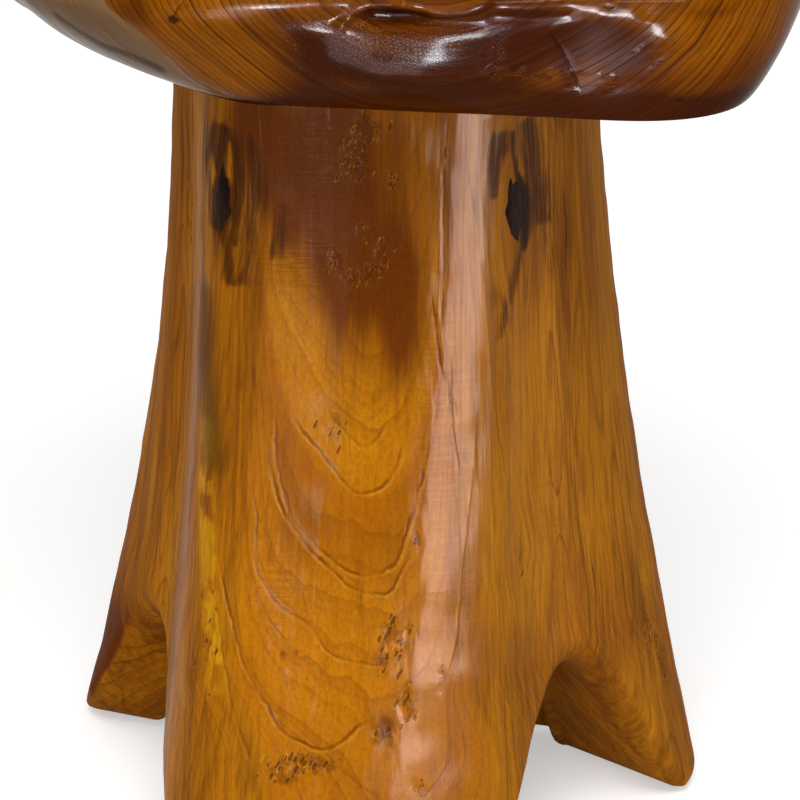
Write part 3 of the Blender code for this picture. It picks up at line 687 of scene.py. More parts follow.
def torn_group():
    """Torn grain: small pits along the fibres, each with a pale lip painted as a glint, and thin flakes with a
    rim painted as a glint.
    """
    wanted = dict.fromkeys(("Pit", "Lip glint", "Flake", "Rim glint"), "Float")
    make, given = new_group("torn grain", "ShaderNodeTree", {"Fibre": "Vector", "Torn": "Float"}, wanted)
    fibre, torn = given["Fibre"], given["Torn"]
    slant = make.add("ShaderNodeVectorRotate", {"rotation_type": "Y_AXIS"}, {"Vector": fibre, "Angle": -0.4})
    cells = make.vector("MULTIPLY", slant, (560, 560, 165))
    cells = make.vector("ADD", cells, make.noise(fibre, (300, 300, 150)))
    cell = make.all_of("ShaderNodeTexVoronoi", None, {"Vector": cells, "Scale": 1.0})
    chance = make.add("ShaderNodeTexWhiteNoise", {"noise_dimensions": "3D"}, {"Vector": cell["Position"]})
    there = make.math("GREATER_THAN", make.times(make.math("POWER", torn, 1.6), 0.85), chance)
    # the pale lip round each pit is a painted glint
    lip = make.times(make.step(cell["Distance"], 0.6, 0.44), make.step(cell["Distance"], 0.36, 0.44))
    chips = make.plus(make.noise(fibre, (330, 330, 170), 3.0, 0.62), torn, 0.16)
    flake = make.step(chips, 0.6, 0.635)
    return put_out(make, {
        "Pit": make.times(make.step(cell["Distance"], 0.28, 0.44, 1.0, 0.0), there),
        "Lip glint": make.times(lip, there),
        "Flake": flake,
        "Rim glint": make.math("SUBTRACT", make.step(chips, 0.572, 0.6), flake, clamp=True),
    })


FIBRES = fibre_group()
RINGS = ring_group()
TORN = torn_group()


def new_finish(name):
    material = bpy.data.materials.new(name)
    material.use_nodes = True
    return material, Nodes(material.node_tree), material.node_tree.nodes["Principled BSDF"].inputs


def varnish(shader, coat, gloss, sheen):
    """A clear varnish that has sunk into the grain, with a thin smooth coat over it."""
    shader["Specular IOR Level"].default_value = sheen
    shader["Coat Weight"].default_value = coat
    shader["Coat Roughness"].default_value = gloss
    shader["Coat IOR"].default_value = 1.4


def dress(make, shader, tone, rough, height, strength, distance):
    """Link colour, roughness and fine relief to the shader."""
    bump = make.add("ShaderNodeBump", None, {"Strength": strength, "Distance": distance, "Height": height})
    for name, value in (("Base Color", tone), ("Roughness", rough), ("Normal", bump)):
        make.tree.links.new(value, shader[name])


def ramp_of(make, value, stops):
    """A colour ramp from the given stops, each a place from 0 to 1 and a colour."""
    node = make.tree.nodes.new("ShaderNodeValToRGB")
    make.tree.links.new(value, node.inputs[0])
    elements = node.color_ramp.elements
    elements.remove(elements[1])
    elements[0].position = stops[0][0]
    elements[0].color = (*stops[0][1], 1)
    for place, shade in stops[1:]:
        elements.new(place).color = (*shade, 1)
    return node.outputs[0]


RAMP_HEIGHT = 0.4
# Colours up the front of the stump, by height
FRONT_TONES = (
    (0.06, (0.4, 0.125, 0.002)), (0.082, (0.44, 0.146, 0.002)), (0.118, (0.46, 0.15, 0.003)),
    (0.146, (0.44, 0.148, 0.003)), (0.16, (0.36, 0.11, 0.002)), (0.17, (0.29, 0.08, 0.001)),
    (0.188, (0.31, 0.084, 0.001)), (0.2, (0.43, 0.15, 0.002)), (0.225, (0.46, 0.165, 0.003)),
    (0.262, (0.28, 0.088, 0.002)),
)


def stump_finish():
    material, make, shader = new_finish("varnished stump wood")
    fibre = make.read("fibre", "Vector")
    here = make.add("ShaderNodeTexCoord", out="Object")
    front, satin, torn_share = make.read("front"), make.read("satin"), make.read("torn")
    elsewhere = make.math("SUBTRACT", 1.0, make.times(front, 0.75))
    plain = make.math("SUBTRACT", 1.0, make.times(front, 0.62))
    streaks = make.place(FIBRES, {"Fibre": fibre})
    streak, fine = streaks["Streak"], streaks["Fine"]
    rings = make.place(RINGS, {"Layer": make.read("layer"), "Fibre": fibre, "Wander": 3.0, "Weakest": 0.15})

    # golden and amber bands, with darker streaks along the fibres
    tone = make.blend(make.step(streaks["Broad"], 0.36, 0.64), (0.46, 0.168, 0.002), (0.31, 0.092, 0.0012))
    dark = make.times(make.step(streak, 0.35, 0.7, 0.0, 0.7), elsewhere)
    tone = make.blend(dark, tone, (0.135, 0.038, 0.0014))
    tone = make.tint(tone, rings["Tint"], 0.3, (0.5, 0.185, 0.003))
    tone = make.blend(make.step(make.read("pale"), 0.05, 0.8, 0.0, 0.6), tone, (0.52, 0.2, 0.004))
    patchy = make.step(make.noise(fibre, (110, 110, 60), 3.0, 0.6), 0.36, 0.56)
    gilt = make.step(make.ruffle(make.read("gilt"), fine, 0.9), 0.1, 0.8, 0.0, 0.9)
    tone = make.blend(make.times(gilt, patchy), tone, (0.56, 0.255, 0.003))
    olive = make.step(make.ruffle(make.read("olive"), streak, 0.5), 0.0, 1.0, 0.0, 0.8)
    tone = make.blend(olive, tone, (0.09, 0.044, 0.001))

    # growth layers laid open on the front: zones of colour by height, and above them brown stain with painted
    # shade
    drawn = make.ruffle(make.read("figure"), make.noise(fibre, (180, 180, 60), 3.0), 0.003)
    place = make.math("DIVIDE", drawn, RAMP_HEIGHT)
    zoned = ramp_of(make, place, [(height / RAMP_HEIGHT, shade) for height, shade in FRONT_TONES])
    tone = make.blend(make.times(front, 0.7), tone, zoned)
    # brown stain, with painted shade in the hollow under the seat and on the left leg
    ragged = make.ruffle(make.ruffle(make.read("brown_and_shade"), streak, 1.5), fine, 0.5)
    tone = make.blend(make.step(ragged, 0.0, 1.05, 0.0, 0.92), tone, (0.088, 0.014, 0.0003))

    # growth rings, thin dark lines between the fibres, and faint layer lines
    tone = make.tint(tone, rings["Shade"], 0.3, (0.13, 0.036, 0.0015))
    edges = make.times(rings["Edge"], elsewhere)
    tone = make.tint(tone, edges, 0.38, (0.08, 0.02, 0.001))
    tone = make.tint(tone, make.times(streaks["Line"], elsewhere), 0.4, (0.085, 0.022, 0.001))
    stops = [(0.0, (0, 0, 0))]
    for height, strength in FIGURE_LINES[::-1]:
        for shift, share in ((-0.0006, 0.0), (0.0, strength), (0.0022, 0.0)):
            stops.append(((height + shift) / RAMP_HEIGHT, (share, share, share)))
    lines = make.times(ramp_of(make, place, stops), front)
    tone = make.tint(tone, lines, 0.8, (0.11, 0.022, 0.0006))

    # the cut edge of a layer is a dark line, with a painted highlight of its ledge beside it
    wobble = make.math("SUBTRACT", make.noise(fibre, (170, 170, 110), 3.0, 0.6), 0.5)
    vary = make.step(make.noise(fibre, (70, 70, 45), 1.0), 0.34, 0.6, 0.3, 1.0)
    dark_edge = painted_ledge_highlight = 0.0
    for name in ("edge", "echo"):
        side = make.plus(make.read(name + "_side"), wobble, 0.003)
        on = make.times(make.read(name + "_on"), vary)
        dark = make.step(make.math("ABSOLUTE", side), 0.0002, 0.001, 1.0, 0.0)
        dark_edge = make.plus(dark_edge, dark, on)
        # the pale line beside the edge is a painted highlight of the ledge
        light = make.step(make.math("ABSOLUTE", make.math("ADD", side, 0.0015)), 0.0001, 0.0011, 1.0, 0.0)
        painted_ledge_highlight = make.plus(painted_ledge_highlight, light, on)
    tone = make.tint(tone, painted_ledge_highlight, 0.55, (0.6, 0.26, 0.012))
    tone = make.tint(tone, dark_edge, 0.75, (0.095, 0.02, 0.0006))

    # ripples across the grain, fine fibres, pores and mottling
    rippled = make.times(make.step(make.noise(here, (60, 60, 900)), 0.4, 0.62), make.read("ripple"))
    tone = make.tint(tone, rippled, 0.36, (0.085, 0.019, 0.0006))
    tone = make.blend(make.times(make.step(fine, 0.3, 0.75, 0.0, 0.48), plain), tone, (0.1, 0.025, 0.0006))
    tone = make.blend(make.times(make.times(streaks["Pores"], 0.3), plain), tone, (0.05, 0.013, 0.001))
    mottle = make.step(make.noise(fibre, (620, 620, 420), 3.0, 0.65), 0.4, 0.68, 0.0, 0.3)
    tone = make.blend(make.times(mottle, front), tone, (0.15, 0.042, 0.0008))

    # dark stain round the knots, torn grain with painted glints on its pit lips and flake rims, and drying
    # checks
    stain = make.ruffle(make.read("stain"), make.noise(fibre, (300, 300, 60), 4.0, 0.65), 0.9)
    stain = make.ruffle(stain, fine, 0.9)
    tone = make.blend(make.step(stain, 0.1, 0.78, 0.0, 0.88), tone, (0.052, 0.013, 0.0006))
    tone = make.blend(make.step(stain, 0.7, 1.2, 0.0, 0.9), tone, (0.013, 0.0035, 0.0005))
    torn = make.place(TORN, {"Fibre": fibre, "Torn": torn_share})
    flake = make.times(torn["Flake"], make.step(torn_share, 0.25, 0.8))
    # the pale rim of each flake is a painted glint
    rim = make.times(torn["Rim glint"], make.step(torn_share, 0.15, 0.5))
    side = make.math("ABSOLUTE", make.plus(make.read("check_side"), wobble, 0.0024))
    check = make.times(make.step(side, 0.0001, 0.0006, 1.0, 0.0), make.times(make.read("check_on"), vary))
    for mask, share, shade in (
        (torn["Lip glint"], 0.35, (0.56, 0.23, 0.02)), (torn["Pit"], 0.75, (0.085, 0.021, 0.0006)),
        (flake, 0.4, (0.075, 0.013, 0.0005)), (rim, 0.18, (0.5, 0.19, 0.012)),
        (check, 0.65, (0.04, 0.009, 0.0006)),
    ):
        tone = make.tint(tone, mask, share, shade)

    rough = make.plus(make.step(fine, 0.2, 0.8, 0.2, 0.33), satin, 0.42)
    height = make.times(fine, 0.14)
    for mask, lift in (
        (streak, 0.45), (edges, -0.1), (lines, -0.3), (dark_edge, -0.45), (painted_ledge_highlight, 0.35), (check, -0.7),
        (rippled, -0.2), (torn["Pit"], -0.8), (flake, -0.8), (make.noise(here, (850, 850, 600)), 0.11),
    ):
        height = make.plus(height, mask, lift)
    dress(make, shader, tone, rough, height, 1.0, 0.0008)
    varnish(shader, 0.04, 0.15, 0.018)
    make.tree.links.new(make.step(satin, 0.0, 1.0, 0.04, 0.01), shader["Coat Weight"])
    return material


shape(stump, 0.0022, 0.0007, 0.003, stump_finish())
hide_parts("stump_base")
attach(stump, "root")

# --- Knots filled in the front of the stump -----------------------------------------------------------
# Two dead knots, cleaned out and filled flush with dark casting resin, then sanded and varnished with the
# rest of the stump. The face of each follows the stump's skin.

# direction, drop below the stump's top, half width, half height, lean
KNOTS = (
    ("left", -133.5, 0.071, 0.0052, 0.0135, 0.02),
    ("right", -55, 0.0715, 0.0062, 0.0155, -0.08),
)
KNOT_DEPTH = 0.012
KNOT_RIM_DEPTH = 0.003
KNOT_DOME = 0.00035


def knot_finish():
    material, make, shader = new_finish("dark knot resin")
    place = make.add("ShaderNodeTexCoord", out="Object")
    cloud = make.noise(place, (160, 160, 60), 4.0, 0.6)
    tone = make.blend(make.step(cloud, 0.35, 0.7), (0.007, 0.0018, 0.0005), (0.026, 0.0075, 0.001))
    rough = make.step(cloud, 0.3, 0.8, 0.25, 0.45)
    dress(make, shader, tone, rough, make.noise(place, (700, 700, 400), 3.0), 0.6, 0.0006)
    varnish(shader, 0.06, 0.2, 0.02)
    return material


knot_resin = knot_finish()
for name, direction, drop, half_width, half_height, lean in KNOTS:
    middle = stump_top - drop
    surface = skin_radius(direction, middle)
    turn = np.linspace(0, math.tau, 48, endpoint=False)[:, None]
    ragged = 0.9 + 0.1 * np.sin(3 * turn + 1) + 0.08 * np.sin(7 * turn) + 0.05 * np.sin(13 * turn + 2)
    share = np.linspace(0, 1, 13)[None, 1:]
    along = half_height * np.sin(turn) * share * ragged
    across = half_width * np.cos(turn) * share * np.roll(ragged, 9) + lean * along
    heights = middle + along
    degrees = direction + np.degrees(across / NECK_RADIUS)
    depth = KNOT_DEPTH + (KNOT_RIM_DEPTH - KNOT_DEPTH) * share**2
    skin = skin_radius(degrees, heights)
    outer = around(degrees, skin + KNOT_DOME * (1 - share**4), heights)
    inner = around(degrees, skin - depth, heights)[:, ::-1]
    first = around(np.array(direction), np.array(surface + KNOT_DOME), middle)
    last = around(np.array(direction), np.array(surface - KNOT_DEPTH), middle)
    knot = closed_skin(name + "_knot", np.concatenate([outer, inner], axis=1), first, last)
    knot.data.materials.append(knot_resin)
    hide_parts(name + "_knot_fill")
    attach(knot, "root")

# --- Seat ---------------------------------------------------------------------------------------------
# A thick slab sawn across a big root, with its live edge kept: rounded by hand, undercut at one corner,
# with swellings, dents and small knots left in. The same wood as the stump, darker, and as glossy.

seat_top = seat_high.z
seat_bottom = seat_low.z
seat_thickness = seat_top - seat_bottom
seat_width = seat_high.x - seat_low.x
seat_depth = seat_high.y - seat_low.y
OUTLINE_SHARES = np.array((
    0.99, 1.01, 1.02, 0.99, 0.98, 1.0, 1.02, 1.01,
    0.98, 1.0, 1.1, 1.09, 1.01, 1.11, 1.245, 1.1,
))
SEAT_TOP_ROUND = 0.012
SEAT_UNDERCUT = 0.016
UNDERCUT_POWER = 1.4
UNDERCUTS = ((-140, 27, 0.044), (-55, 13, -0.013), (-31, 10, 0.012))
# direction, spread, place and fade down the edge as shares of the thickness, height
LUMPS = (
    (-87, 12, 0.68, 0.3, 0.01), (-87, 14, 0.2, 0.08, -0.004), (-66, 8, 0.35, 0.4, -0.006),
    (-50, 14, 0.65, 0.45, 0.005), (-108, 14, 0.6, 0.4, -0.005), (-160, 14, 0.5, 0.4, -0.005),
    (20, 16, 0.45, 0.35, 0.005), (48, 10, 0.5, 0.45, -0.005), (75, 18, 0.4, 0.4, -0.006),
    (118, 14, 0.5, 0.35, 0.005), (150, 9, 0.45, 0.45, -0.005),
)


def outline_radius(degrees):
    """The seat's outline: an oval, times the shares of OUTLINE_SHARES on a smooth curve."""
    place = (degrees % 360) / 360 * len(OUTLINE_SHARES)
    index = place.astype(int)
    part = place - index
    before, start, end, after = (OUTLINE_SHARES[(index + k) % len(OUTLINE_SHARES)] for k in (-1, 0, 1, 2))
    curve = 2 * before - 5 * start + 4 * end - after + part * (3 * (start - end) + after - before)
    share = start + part / 2 * (end - before + part * curve)
    angle = np.radians(degrees)
    across = seat_width / 2
    along = seat_depth / 2
    return share * across * along / np.hypot(along * np.cos(angle), across * np.sin(angle))


def lump_height(degrees, height):
    """How far the live edge swells or is dented."""
    down = (seat_top - height) / seat_thickness
    total = 0 * height
    for direction, spread, down_share, fade_share, lump in LUMPS:
        total = total + lump * bell(down - down_share, fade_share) * bell(turn_from(degrees, direction), spread)
    return total * (height < seat_top - 0.0002) * (height > seat_bottom + 0.0002)


def seat_grid():
    """Points of the seat's skin: its top, the rounded rim, the undercut live edge, and its underside."""
    steps = np.concatenate([np.arange(-152, -28, 0.45), np.arange(-28, 208, 1.9)])
    degrees = steps[:, None]
    outer = outline_radius(degrees)
    shoulder = seat_top - SEAT_TOP_ROUND
    below = shoulder - seat_bottom
    inset = SEAT_UNDERCUT + 0 * outer
    for direction, spread, deeper in UNDERCUTS:
        inset = inset + deeper * bell(turn_from(degrees, direction), spread)
    rim = outer - SEAT_TOP_ROUND
    radii = [rim * share for share in np.linspace(0, 1, 27)[1:]]
    heights = [seat_top + 0 * rim] * 26
    for turn in np.linspace(0, math.pi / 2, 13)[1:]:
        radii.append(rim + SEAT_TOP_ROUND * math.sin(turn))
        heights.append(shoulder + SEAT_TOP_ROUND * math.cos(turn) + 0 * rim)
    for turn in np.linspace(0, math.pi / 2, 57)[1:]:
        inward = max(math.cos(turn), 0.0) ** (2 / UNDERCUT_POWER)
        downward = math.sin(turn) ** (2 / UNDERCUT_POWER)
        radii.append(outer - inset * (1 - inward))
        heights.append(shoulder - below * downward + 0 * rim)
    underside = outer - inset
    for share in np.linspace(1, 0, 15)[1:-1]:
        radii.append(underside * share)
        heights.append(seat_bottom + 0 * rim)
    radius = np.concatenate(radii, axis=1)
    height = np.concatenate(heights, axis=1)
    spots = around(degrees + 0 * radius, radius + lump_height(degrees, height), height)
    for axis, size in ((0, seat_width), (1, seat_depth)):
        low = spots[..., axis].min()
        high = spots[..., axis].max()
        spots[..., axis] = (spots[..., axis] - (low + high) / 2) * size / (high - low)
    return spots

grid = seat_grid()
seat = closed_skin("live_edge_seat", grid, grid[:, 0].mean(axis=0), grid[:, -1].mean(axis=0))
spots = places_of(seat)
x, y, z = spots.T
seat_degrees = np.degrees(np.arctan2(y, x))
on_seat = (seat_degrees, z, np.hypot(x, y))

# The slab's pith ran from front to back, above the seat and a little to the right
PITH_X = 0.028
PITH_Z = 0.535
RING_WIDTH = 0.0025
bow = 0.01 * np.sin(9 * y + 1.3) + 0.006 * np.sin(31 * x + 17 * y)
reach = np.hypot(x - PITH_X - bow, 0.85 * (z - PITH_Z + 0.01 * np.sin(14 * y)))
turned = np.arctan2(x - PITH_X - bow, PITH_Z - z)
keep_value(seat, "fibre", np.stack([reach, 0.235 * y, 0.12 * turned], axis=-1))
keep_value(seat, "layer", reach / RING_WIDTH)

# Where the live edge is more golden, darker, knotty or torn: direction, height, spread in each, and strength
SEAT_GOLD = (
    (-119, 0.43, 8, 0.02, 1.1), (-112, 0.418, 7, 0.022, 1.1), (-102, 0.44, 6, 0.01, 0.6),
    (-63, 0.44, 8, 0.006, 0.9), (-54, 0.425, 6, 0.012, 0.6), (-45, 0.435, 8, 0.018, 0.7),
    (-150, 0.43, 10, 0.02, 0.4), (-30, 0.43, 8, 0.02, 0.6), (30, 0.43, 20, 0.02, 0.6),
    (140, 0.43, 20, 0.02, 0.6), (-67, 0.416, 3, 0.006, 0.4),
)
# The dark patches are darker wood and painted shade: shade along the underside edge and in the grooves under
# the rim.
SEAT_DARK_AND_SHADE = (
    (-99, 0.422, 5, 0.018, 0.9), (-122.5, 0.44, 3.5, 0.012, 0.7), (-73, 0.43, 6, 0.014, 1.2),
    (-60, 0.424, 5, 0.014, 0.9), (-86, 0.418, 14, 0.012, 0.6), (-67, 0.434, 7, 0.01, 0.7),
    (-106, 0.436, 5, 0.01, 0.5), (-128, 0.4, 6, 0.01, 0.6), (-108, 0.394, 9, 0.005, 0.9),
    (-92, 0.398, 12, 0.009, 1.3), (-74, 0.401, 12, 0.01, 1.2), (-58, 0.4, 9, 0.008, 1.1),
    (-46, 0.398, 8, 0.006, 1.0), (80, 0.42, 16, 0.02, 0.7), (180, 0.42, 14, 0.02, 0.5),
    (20, 0.399, 30, 0.006, 0.8), (-89, 0.4395, 5, 0.003, 0.9), (-50, 0.44, 4, 0.003, 0.5),
    (-65.6, 0.421, 0.9, 0.009, 1.2),
)
SEAT_KNOTS = (
    (-117.2, 0.4375, 1.2, 0.003, 0.9), (-88.4, 0.44, 2.2, 0.0016, 0.9), (-61.2, 0.444, 0.8, 0.0015, 0.9),
    (-54.2, 0.4035, 0.9, 0.0015, 0.9), (35, 0.425, 2.0, 0.005, 1.0), (128, 0.43, 1.8, 0.005, 1.0),
)
SEAT_TORN = (
    (-71, 0.415, 6, 0.004, 0.8), (-62.5, 0.411, 4, 0.004, 0.9), (-57, 0.424, 3, 0.006, 0.5),
    (-116, 0.444, 3, 0.002, 0.8), (60, 0.42, 6, 0.008, 0.7), (165, 0.42, 6, 0.008, 0.7),
)
# Cross-cracks in the thick varnish on the swelling at the front, where the hand has not smoothed it
SEAT_CRAZED = ((-93, 0.424, 7, 0.013, 1.1), (-84, 0.428, 6, 0.011, 1.1), (100, 0.43, 10, 0.01, 0.7))
SEAT_CHECKS = (
    ((-67.8, 0.433), (-66.3, 0.425), (-65.0, 0.415), (-64.2, 0.407)),
    ((-115.9, 0.446), (-116.6, 0.4433), (-117.4, 0.437)),
    ((30.0, 0.444), (28.0, 0.425), (29.0, 0.405)),
    ((110.0, 0.444), (112.0, 0.425), (111.0, 0.405)),
)
# The hand-cut facet at the front left corner ends on this line
FACET_EDGE = (
    (-127.5, 0.448), (-126.3, 0.4418), (-123.3, 0.4328), (-121.4, 0.4259), (-120.0, 0.4153),
    (-119.0, 0.4071), (-117.8, 0.4011), (-112.5, 0.3945),
)
# A dark split runs across the facet
FACET_SPLIT = ((-134.7, 0.4283), (-130.6, 0.4173), (-127.9, 0.4148), (-125.3, 0.412), (-123.1, 0.4086))
# Ridges and grooves left in the live edge: how high, how wide, then the line's points
SEAT_RIDGES = (
    (0.0012, 0.0048, ((-124.0, 0.448), (-112.0, 0.448), (-99.0, 0.4485))),
    (0.0016, 0.0022, ((-95.6, 0.436), (-93.6, 0.4415), (-91.0, 0.444), (-87.0, 0.445))),
    (-0.003, 0.0028, ((-91.5, 0.44), (-88.4, 0.4388), (-84.5, 0.4395))),
    (0.0018, 0.0024, ((-87.0, 0.4452), (-84.5, 0.4425), (-81.5, 0.4412), (-78.5, 0.4425), (-76.0, 0.446))),
    (-0.0012, 0.0026, ((-75.0, 0.441), (-70.0, 0.4395), (-65.5, 0.4405))),
    (-0.0012, 0.0022, ((-57.5, 0.4415), (-52.0, 0.4405), (-47.5, 0.4395))),
    (0.0012, 0.005, ((-55.6, 0.431), (-52.6, 0.429))),
    (-0.0015, 0.003, ((40.0, 0.436), (52.0, 0.428), (64.0, 0.434))),
    (0.0015, 0.003, ((100.0, 0.43), (112.0, 0.424), (124.0, 0.43))),
    (-0.0015, 0.003, ((170.0, 0.436), (182.0, 0.426), (194.0, 0.432))),
)
from_middle = np.hypot(x / seat_width, y / seat_depth) * 2
edge = ease(0.78, 0.9, from_middle)
keep_value(seat, "rubbed", (1 - ease(0.84, 0.96, from_middle)) * (z > seat_top - 0.004))
for name, table in (
    ("pale", SEAT_GOLD), ("brown_and_shade", SEAT_DARK_AND_SHADE), ("stain", SEAT_KNOTS), ("torn", SEAT_TORN),
    ("crazed", SEAT_CRAZED),
):
    keep_value(seat, name, np.clip(patches(seat_degrees, z, table), 0, 1) * edge)

direction, level = np.array(FACET_EDGE[::-1]).T
cut = turn_from(np.interp(z, level, direction), seat_degrees)
facet = ease(-0.4, 0.8, cut) * ease(30, 14, cut) * edge * ease(-113.5, -119.5, seat_degrees)
keep_value(seat, "facet", facet)
keep_value(seat, "facet_dark", bell(line_distance(*on_seat, FACET_SPLIT), 0.0034))
keep_value(seat, "facet_band", bell(line_distance(*on_seat, FACET_EDGE[4:7]), 0.0018) * (cut > 0) * edge)

check_side, check_on = check_lines(*on_seat, SEAT_CHECKS, 0.004, 0.004)
check_on = check_on * edge
keep_value(seat, "check_side", check_side)
keep_value(seat, "check_on", check_on)

ridges = -0.001 * bell(line_distance(*on_seat, FACET_EDGE), 0.002)
for rise, width, points in SEAT_RIDGES:
    ridges = ridges + rise * bell(line_distance(*on_seat, points), width)
knot_dent = np.clip(patches(seat_degrees, z, SEAT_KNOTS) * edge, 0, 1)
ledge = ridges * edge - 0.0005 * check_on * bell(check_side, 0.0012) - 0.0008 * knot_dent
keep_value(seat, "ledge", ledge)
worked = ease(seat_bottom + 0.0005, seat_bottom + 0.006, z) * edge
keep_value(seat, "calm", 1 - np.maximum(worked, 0.12 * (z > seat_top - 0.001)))


def seat_finish():
    material, make, shader = new_finish("varnished seat wood")
    fibre, layer = make.read("fibre", "Vector"), make.read("layer")
    rubbed, torn_share = make.read("rubbed"), make.read("torn")
    streaks = make.place(FIBRES, {"Fibre": fibre})
    streak, fine = streaks["Streak"], streaks["Fine"]
    rings = make.place(RINGS, {"Layer": layer, "Fibre": fibre, "Wander": 2.5, "Weakest": 0.45})
    fifth = make.math("DIVIDE", layer, 5.0)
    wide = make.place(RINGS, {"Layer": fifth, "Fibre": fibre, "Wander": 1.2, "Weakest": 0.3})

    # red-brown wood in narrow and wide rings, more golden in places, darker in places and with painted shade
    # under its edge and in its grooves
    tone = make.blend(make.step(streaks["Broad"], 0.34, 0.66), (0.19, 0.052, 0.0006), (0.09, 0.018, 0.0004))
    tone = make.tint(tone, rings["Tint"], 0.5, (0.26, 0.08, 0.001))
    tone = make.tint(tone, wide["Tint"], 0.75, (0.07, 0.012, 0.0004))
    golden = make.step(make.ruffle(make.read("pale"), streak, 0.8), 0.0, 0.9, 0.0, 0.65)
    tone = make.blend(golden, tone, (0.29, 0.09, 0.001))
    # darker wood, and painted shade along the underside edge and in the grooves under the rim
    dark = make.step(make.ruffle(make.read("brown_and_shade"), streak, 1.6), 0.0, 0.95, 0.0, 0.93)
    tone = make.blend(dark, tone, (0.028, 0.0032, 0.0002))
    tone = make.tint(tone, rings["Shade"], 0.6, (0.065, 0.013, 0.0006))
    tone = make.tint(tone, rings["Edge"], 0.85, (0.022, 0.004, 0.0003))
    tone = make.tint(tone, wide["Edge"], 0.6, (0.022, 0.004, 0.0003))
    tone = make.blend(make.step(fine, 0.3, 0.75, 0.0, 0.35), tone, (0.05, 0.01, 0.0005))
    tone = make.tint(tone, streaks["Pores"], 0.35, (0.028, 0.006, 0.0004))

    # the hand-cut facet shows weathered tan wood, with a dark split and a pale band at its edge
    tan = make.blend(make.step(streak, 0.35, 0.65), (0.15, 0.09, 0.044), (0.085, 0.045, 0.018))
    split = make.step(make.ruffle(make.read("facet_dark"), streak, 1.4), 0.2, 0.8, 0.0, 0.9)
    tan = make.blend(split, tan, (0.022, 0.007, 0.001))
    tan = make.blend(make.read("facet_band"), tan, (0.2, 0.15, 0.105))
    worn = make.ruffle(make.read("facet"), streak, 0.3)
    tone = make.blend(make.step(worn, 0.1, 0.9, 0.0, 0.9), tone, tan)

    # small knots, torn grain and drying checks
    stain = make.ruffle(make.read("stain"), make.noise(fibre, (260, 260, 120), 3.0, 0.6), 0.8)
    tone = make.blend(make.step(stain, 0.4, 0.75, 0.0, 0.85), tone, (0.016, 0.004, 0.0004))
    torn = make.place(TORN, {"Fibre": fibre, "Torn": torn_share})
    flake = make.times(torn["Flake"], make.step(torn_share, 0.15, 0.5))
    tone = make.tint(tone, torn["Pit"], 0.6, (0.05, 0.01, 0.0005))
    tone = make.tint(tone, flake, 0.18, (0.16, 0.04, 0.0008))
    side = make.math("ABSOLUTE", make.read("check_side"))
    check = make.times(make.step(side, 0.0002, 0.0008, 1.0, 0.0), make.read("check_on"))
    tone = make.tint(tone, check, 0.5, (0.018, 0.003, 0.0003))

    # the crazed varnish is a net of fine cracks, in relief only
    net = {"Vector": make.vector("MULTIPLY", fibre, (900, 420, 560)), "Scale": 1.0}
    cells = make.all_of("ShaderNodeTexVoronoi", {"feature": "DISTANCE_TO_EDGE"}, net)
    crack = make.times(make.step(cells["Distance"], 0.02, 0.12, 1.0, 0.0), make.read("crazed"))
    rough = make.plus(make.step(fine, 0.2, 0.8, 0.17, 0.3), rubbed, 0.66)
    height = make.times(fine, 0.1)
    for mask, lift in (
        (streak, 0.2), (rings["Edge"], -0.1), (check, -0.6), (torn["Pit"], -0.6), (flake, 0.3), (crack, -0.7),
    ):
        height = make.plus(height, mask, lift)
    dress(make, shader, tone, rough, height, 1.0, 0.0008)
    varnish(shader, 0.03, 0.12, 0.016)
    make.tree.links.new(make.step(rubbed, 0.0, 1.0, 0.03, 0.0), shader["Coat Weight"])
    return material


shape(seat, 0.001, 0.0003, 0.004, seat_finish())
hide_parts("seat_slab")
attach(seat, "root")

# --- Dowels -------------------------------------------------------------------------------------------
# Three fluted beech dowels, turned and grooved so that the glue can spread, driven into blind bores
# between the seat and the stump. They are left bare.


def dowel_finish():
    material, make, shader = new_finish("bare beech")
    streaks = make.place(FIBRES, {"Fibre": make.add("ShaderNodeTexCoord", out="Object")})
    tone = make.blend(make.step(streaks["Streak"], 0.3, 0.7), (0.62, 0.43, 0.25), (0.48, 0.3, 0.16))
    tone = make.tint(tone, streaks["Pores"], 0.5, (0.26, 0.14, 0.07))
    dress(make, shader, tone, make.step(streaks["Fine"], 0.2, 0.8, 0.55, 0.75), streaks["Fine"], 0.5, 0.0003)
    return material


def paint(names, material):
    """Give CAD pieces that are kept as they are a material."""
    for name in names:
        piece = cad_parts[name]
        piece.data.materials.clear()
        piece.data.materials.append(material)


paint(("dowel_1", "dowel_2", "dowel_3"), dowel_finish())

# --- Foot pads ----------------------------------------------------------------------------------------
# Round pads of dense felted rubber, glued under the four feet so that the stool doesn't mark a floor.


def pad_finish():
    material, make, shader = new_finish("felted rubber")
    speckle = make.noise(make.add("ShaderNodeTexCoord", out="Object"), (1800, 1800, 1800), 3.0, 0.7)
    tone = make.blend(make.step(speckle, 0.35, 0.7), (0.035, 0.028, 0.024), (0.085, 0.07, 0.06))
    dress(make, shader, tone, make.step(speckle, 0.2, 0.8, 0.8, 0.98), speckle, 0.8, 0.0004)
    return material


paint([leg + "_foot_pad" for leg in ("front", "right", "rear", "left")], pad_finish())

# --- Studio -------------------------------------------------------------------------------------------
# A pale floor and an even pale sky. Two soft lamps light the wood, and six make only the glints in the
# varnish, each on one piece. The camera looks down a little from the front, as the photo's did.

FLOOR_HALF = 6.0
floor_mesh = bpy.data.meshes.new("studio_floor")
signs = ((-1, -1), (1, -1), (1, 1), (-1, 1))
corners = [(FLOOR_HALF * across, FLOOR_HALF * along, 0) for across, along in signs]
floor_mesh.from_pydata(corners, [], [(0, 1, 2, 3)])
floor = bpy.data.objects.new("studio_floor", floor_mesh)
bpy.context.collection.objects.link(floor)


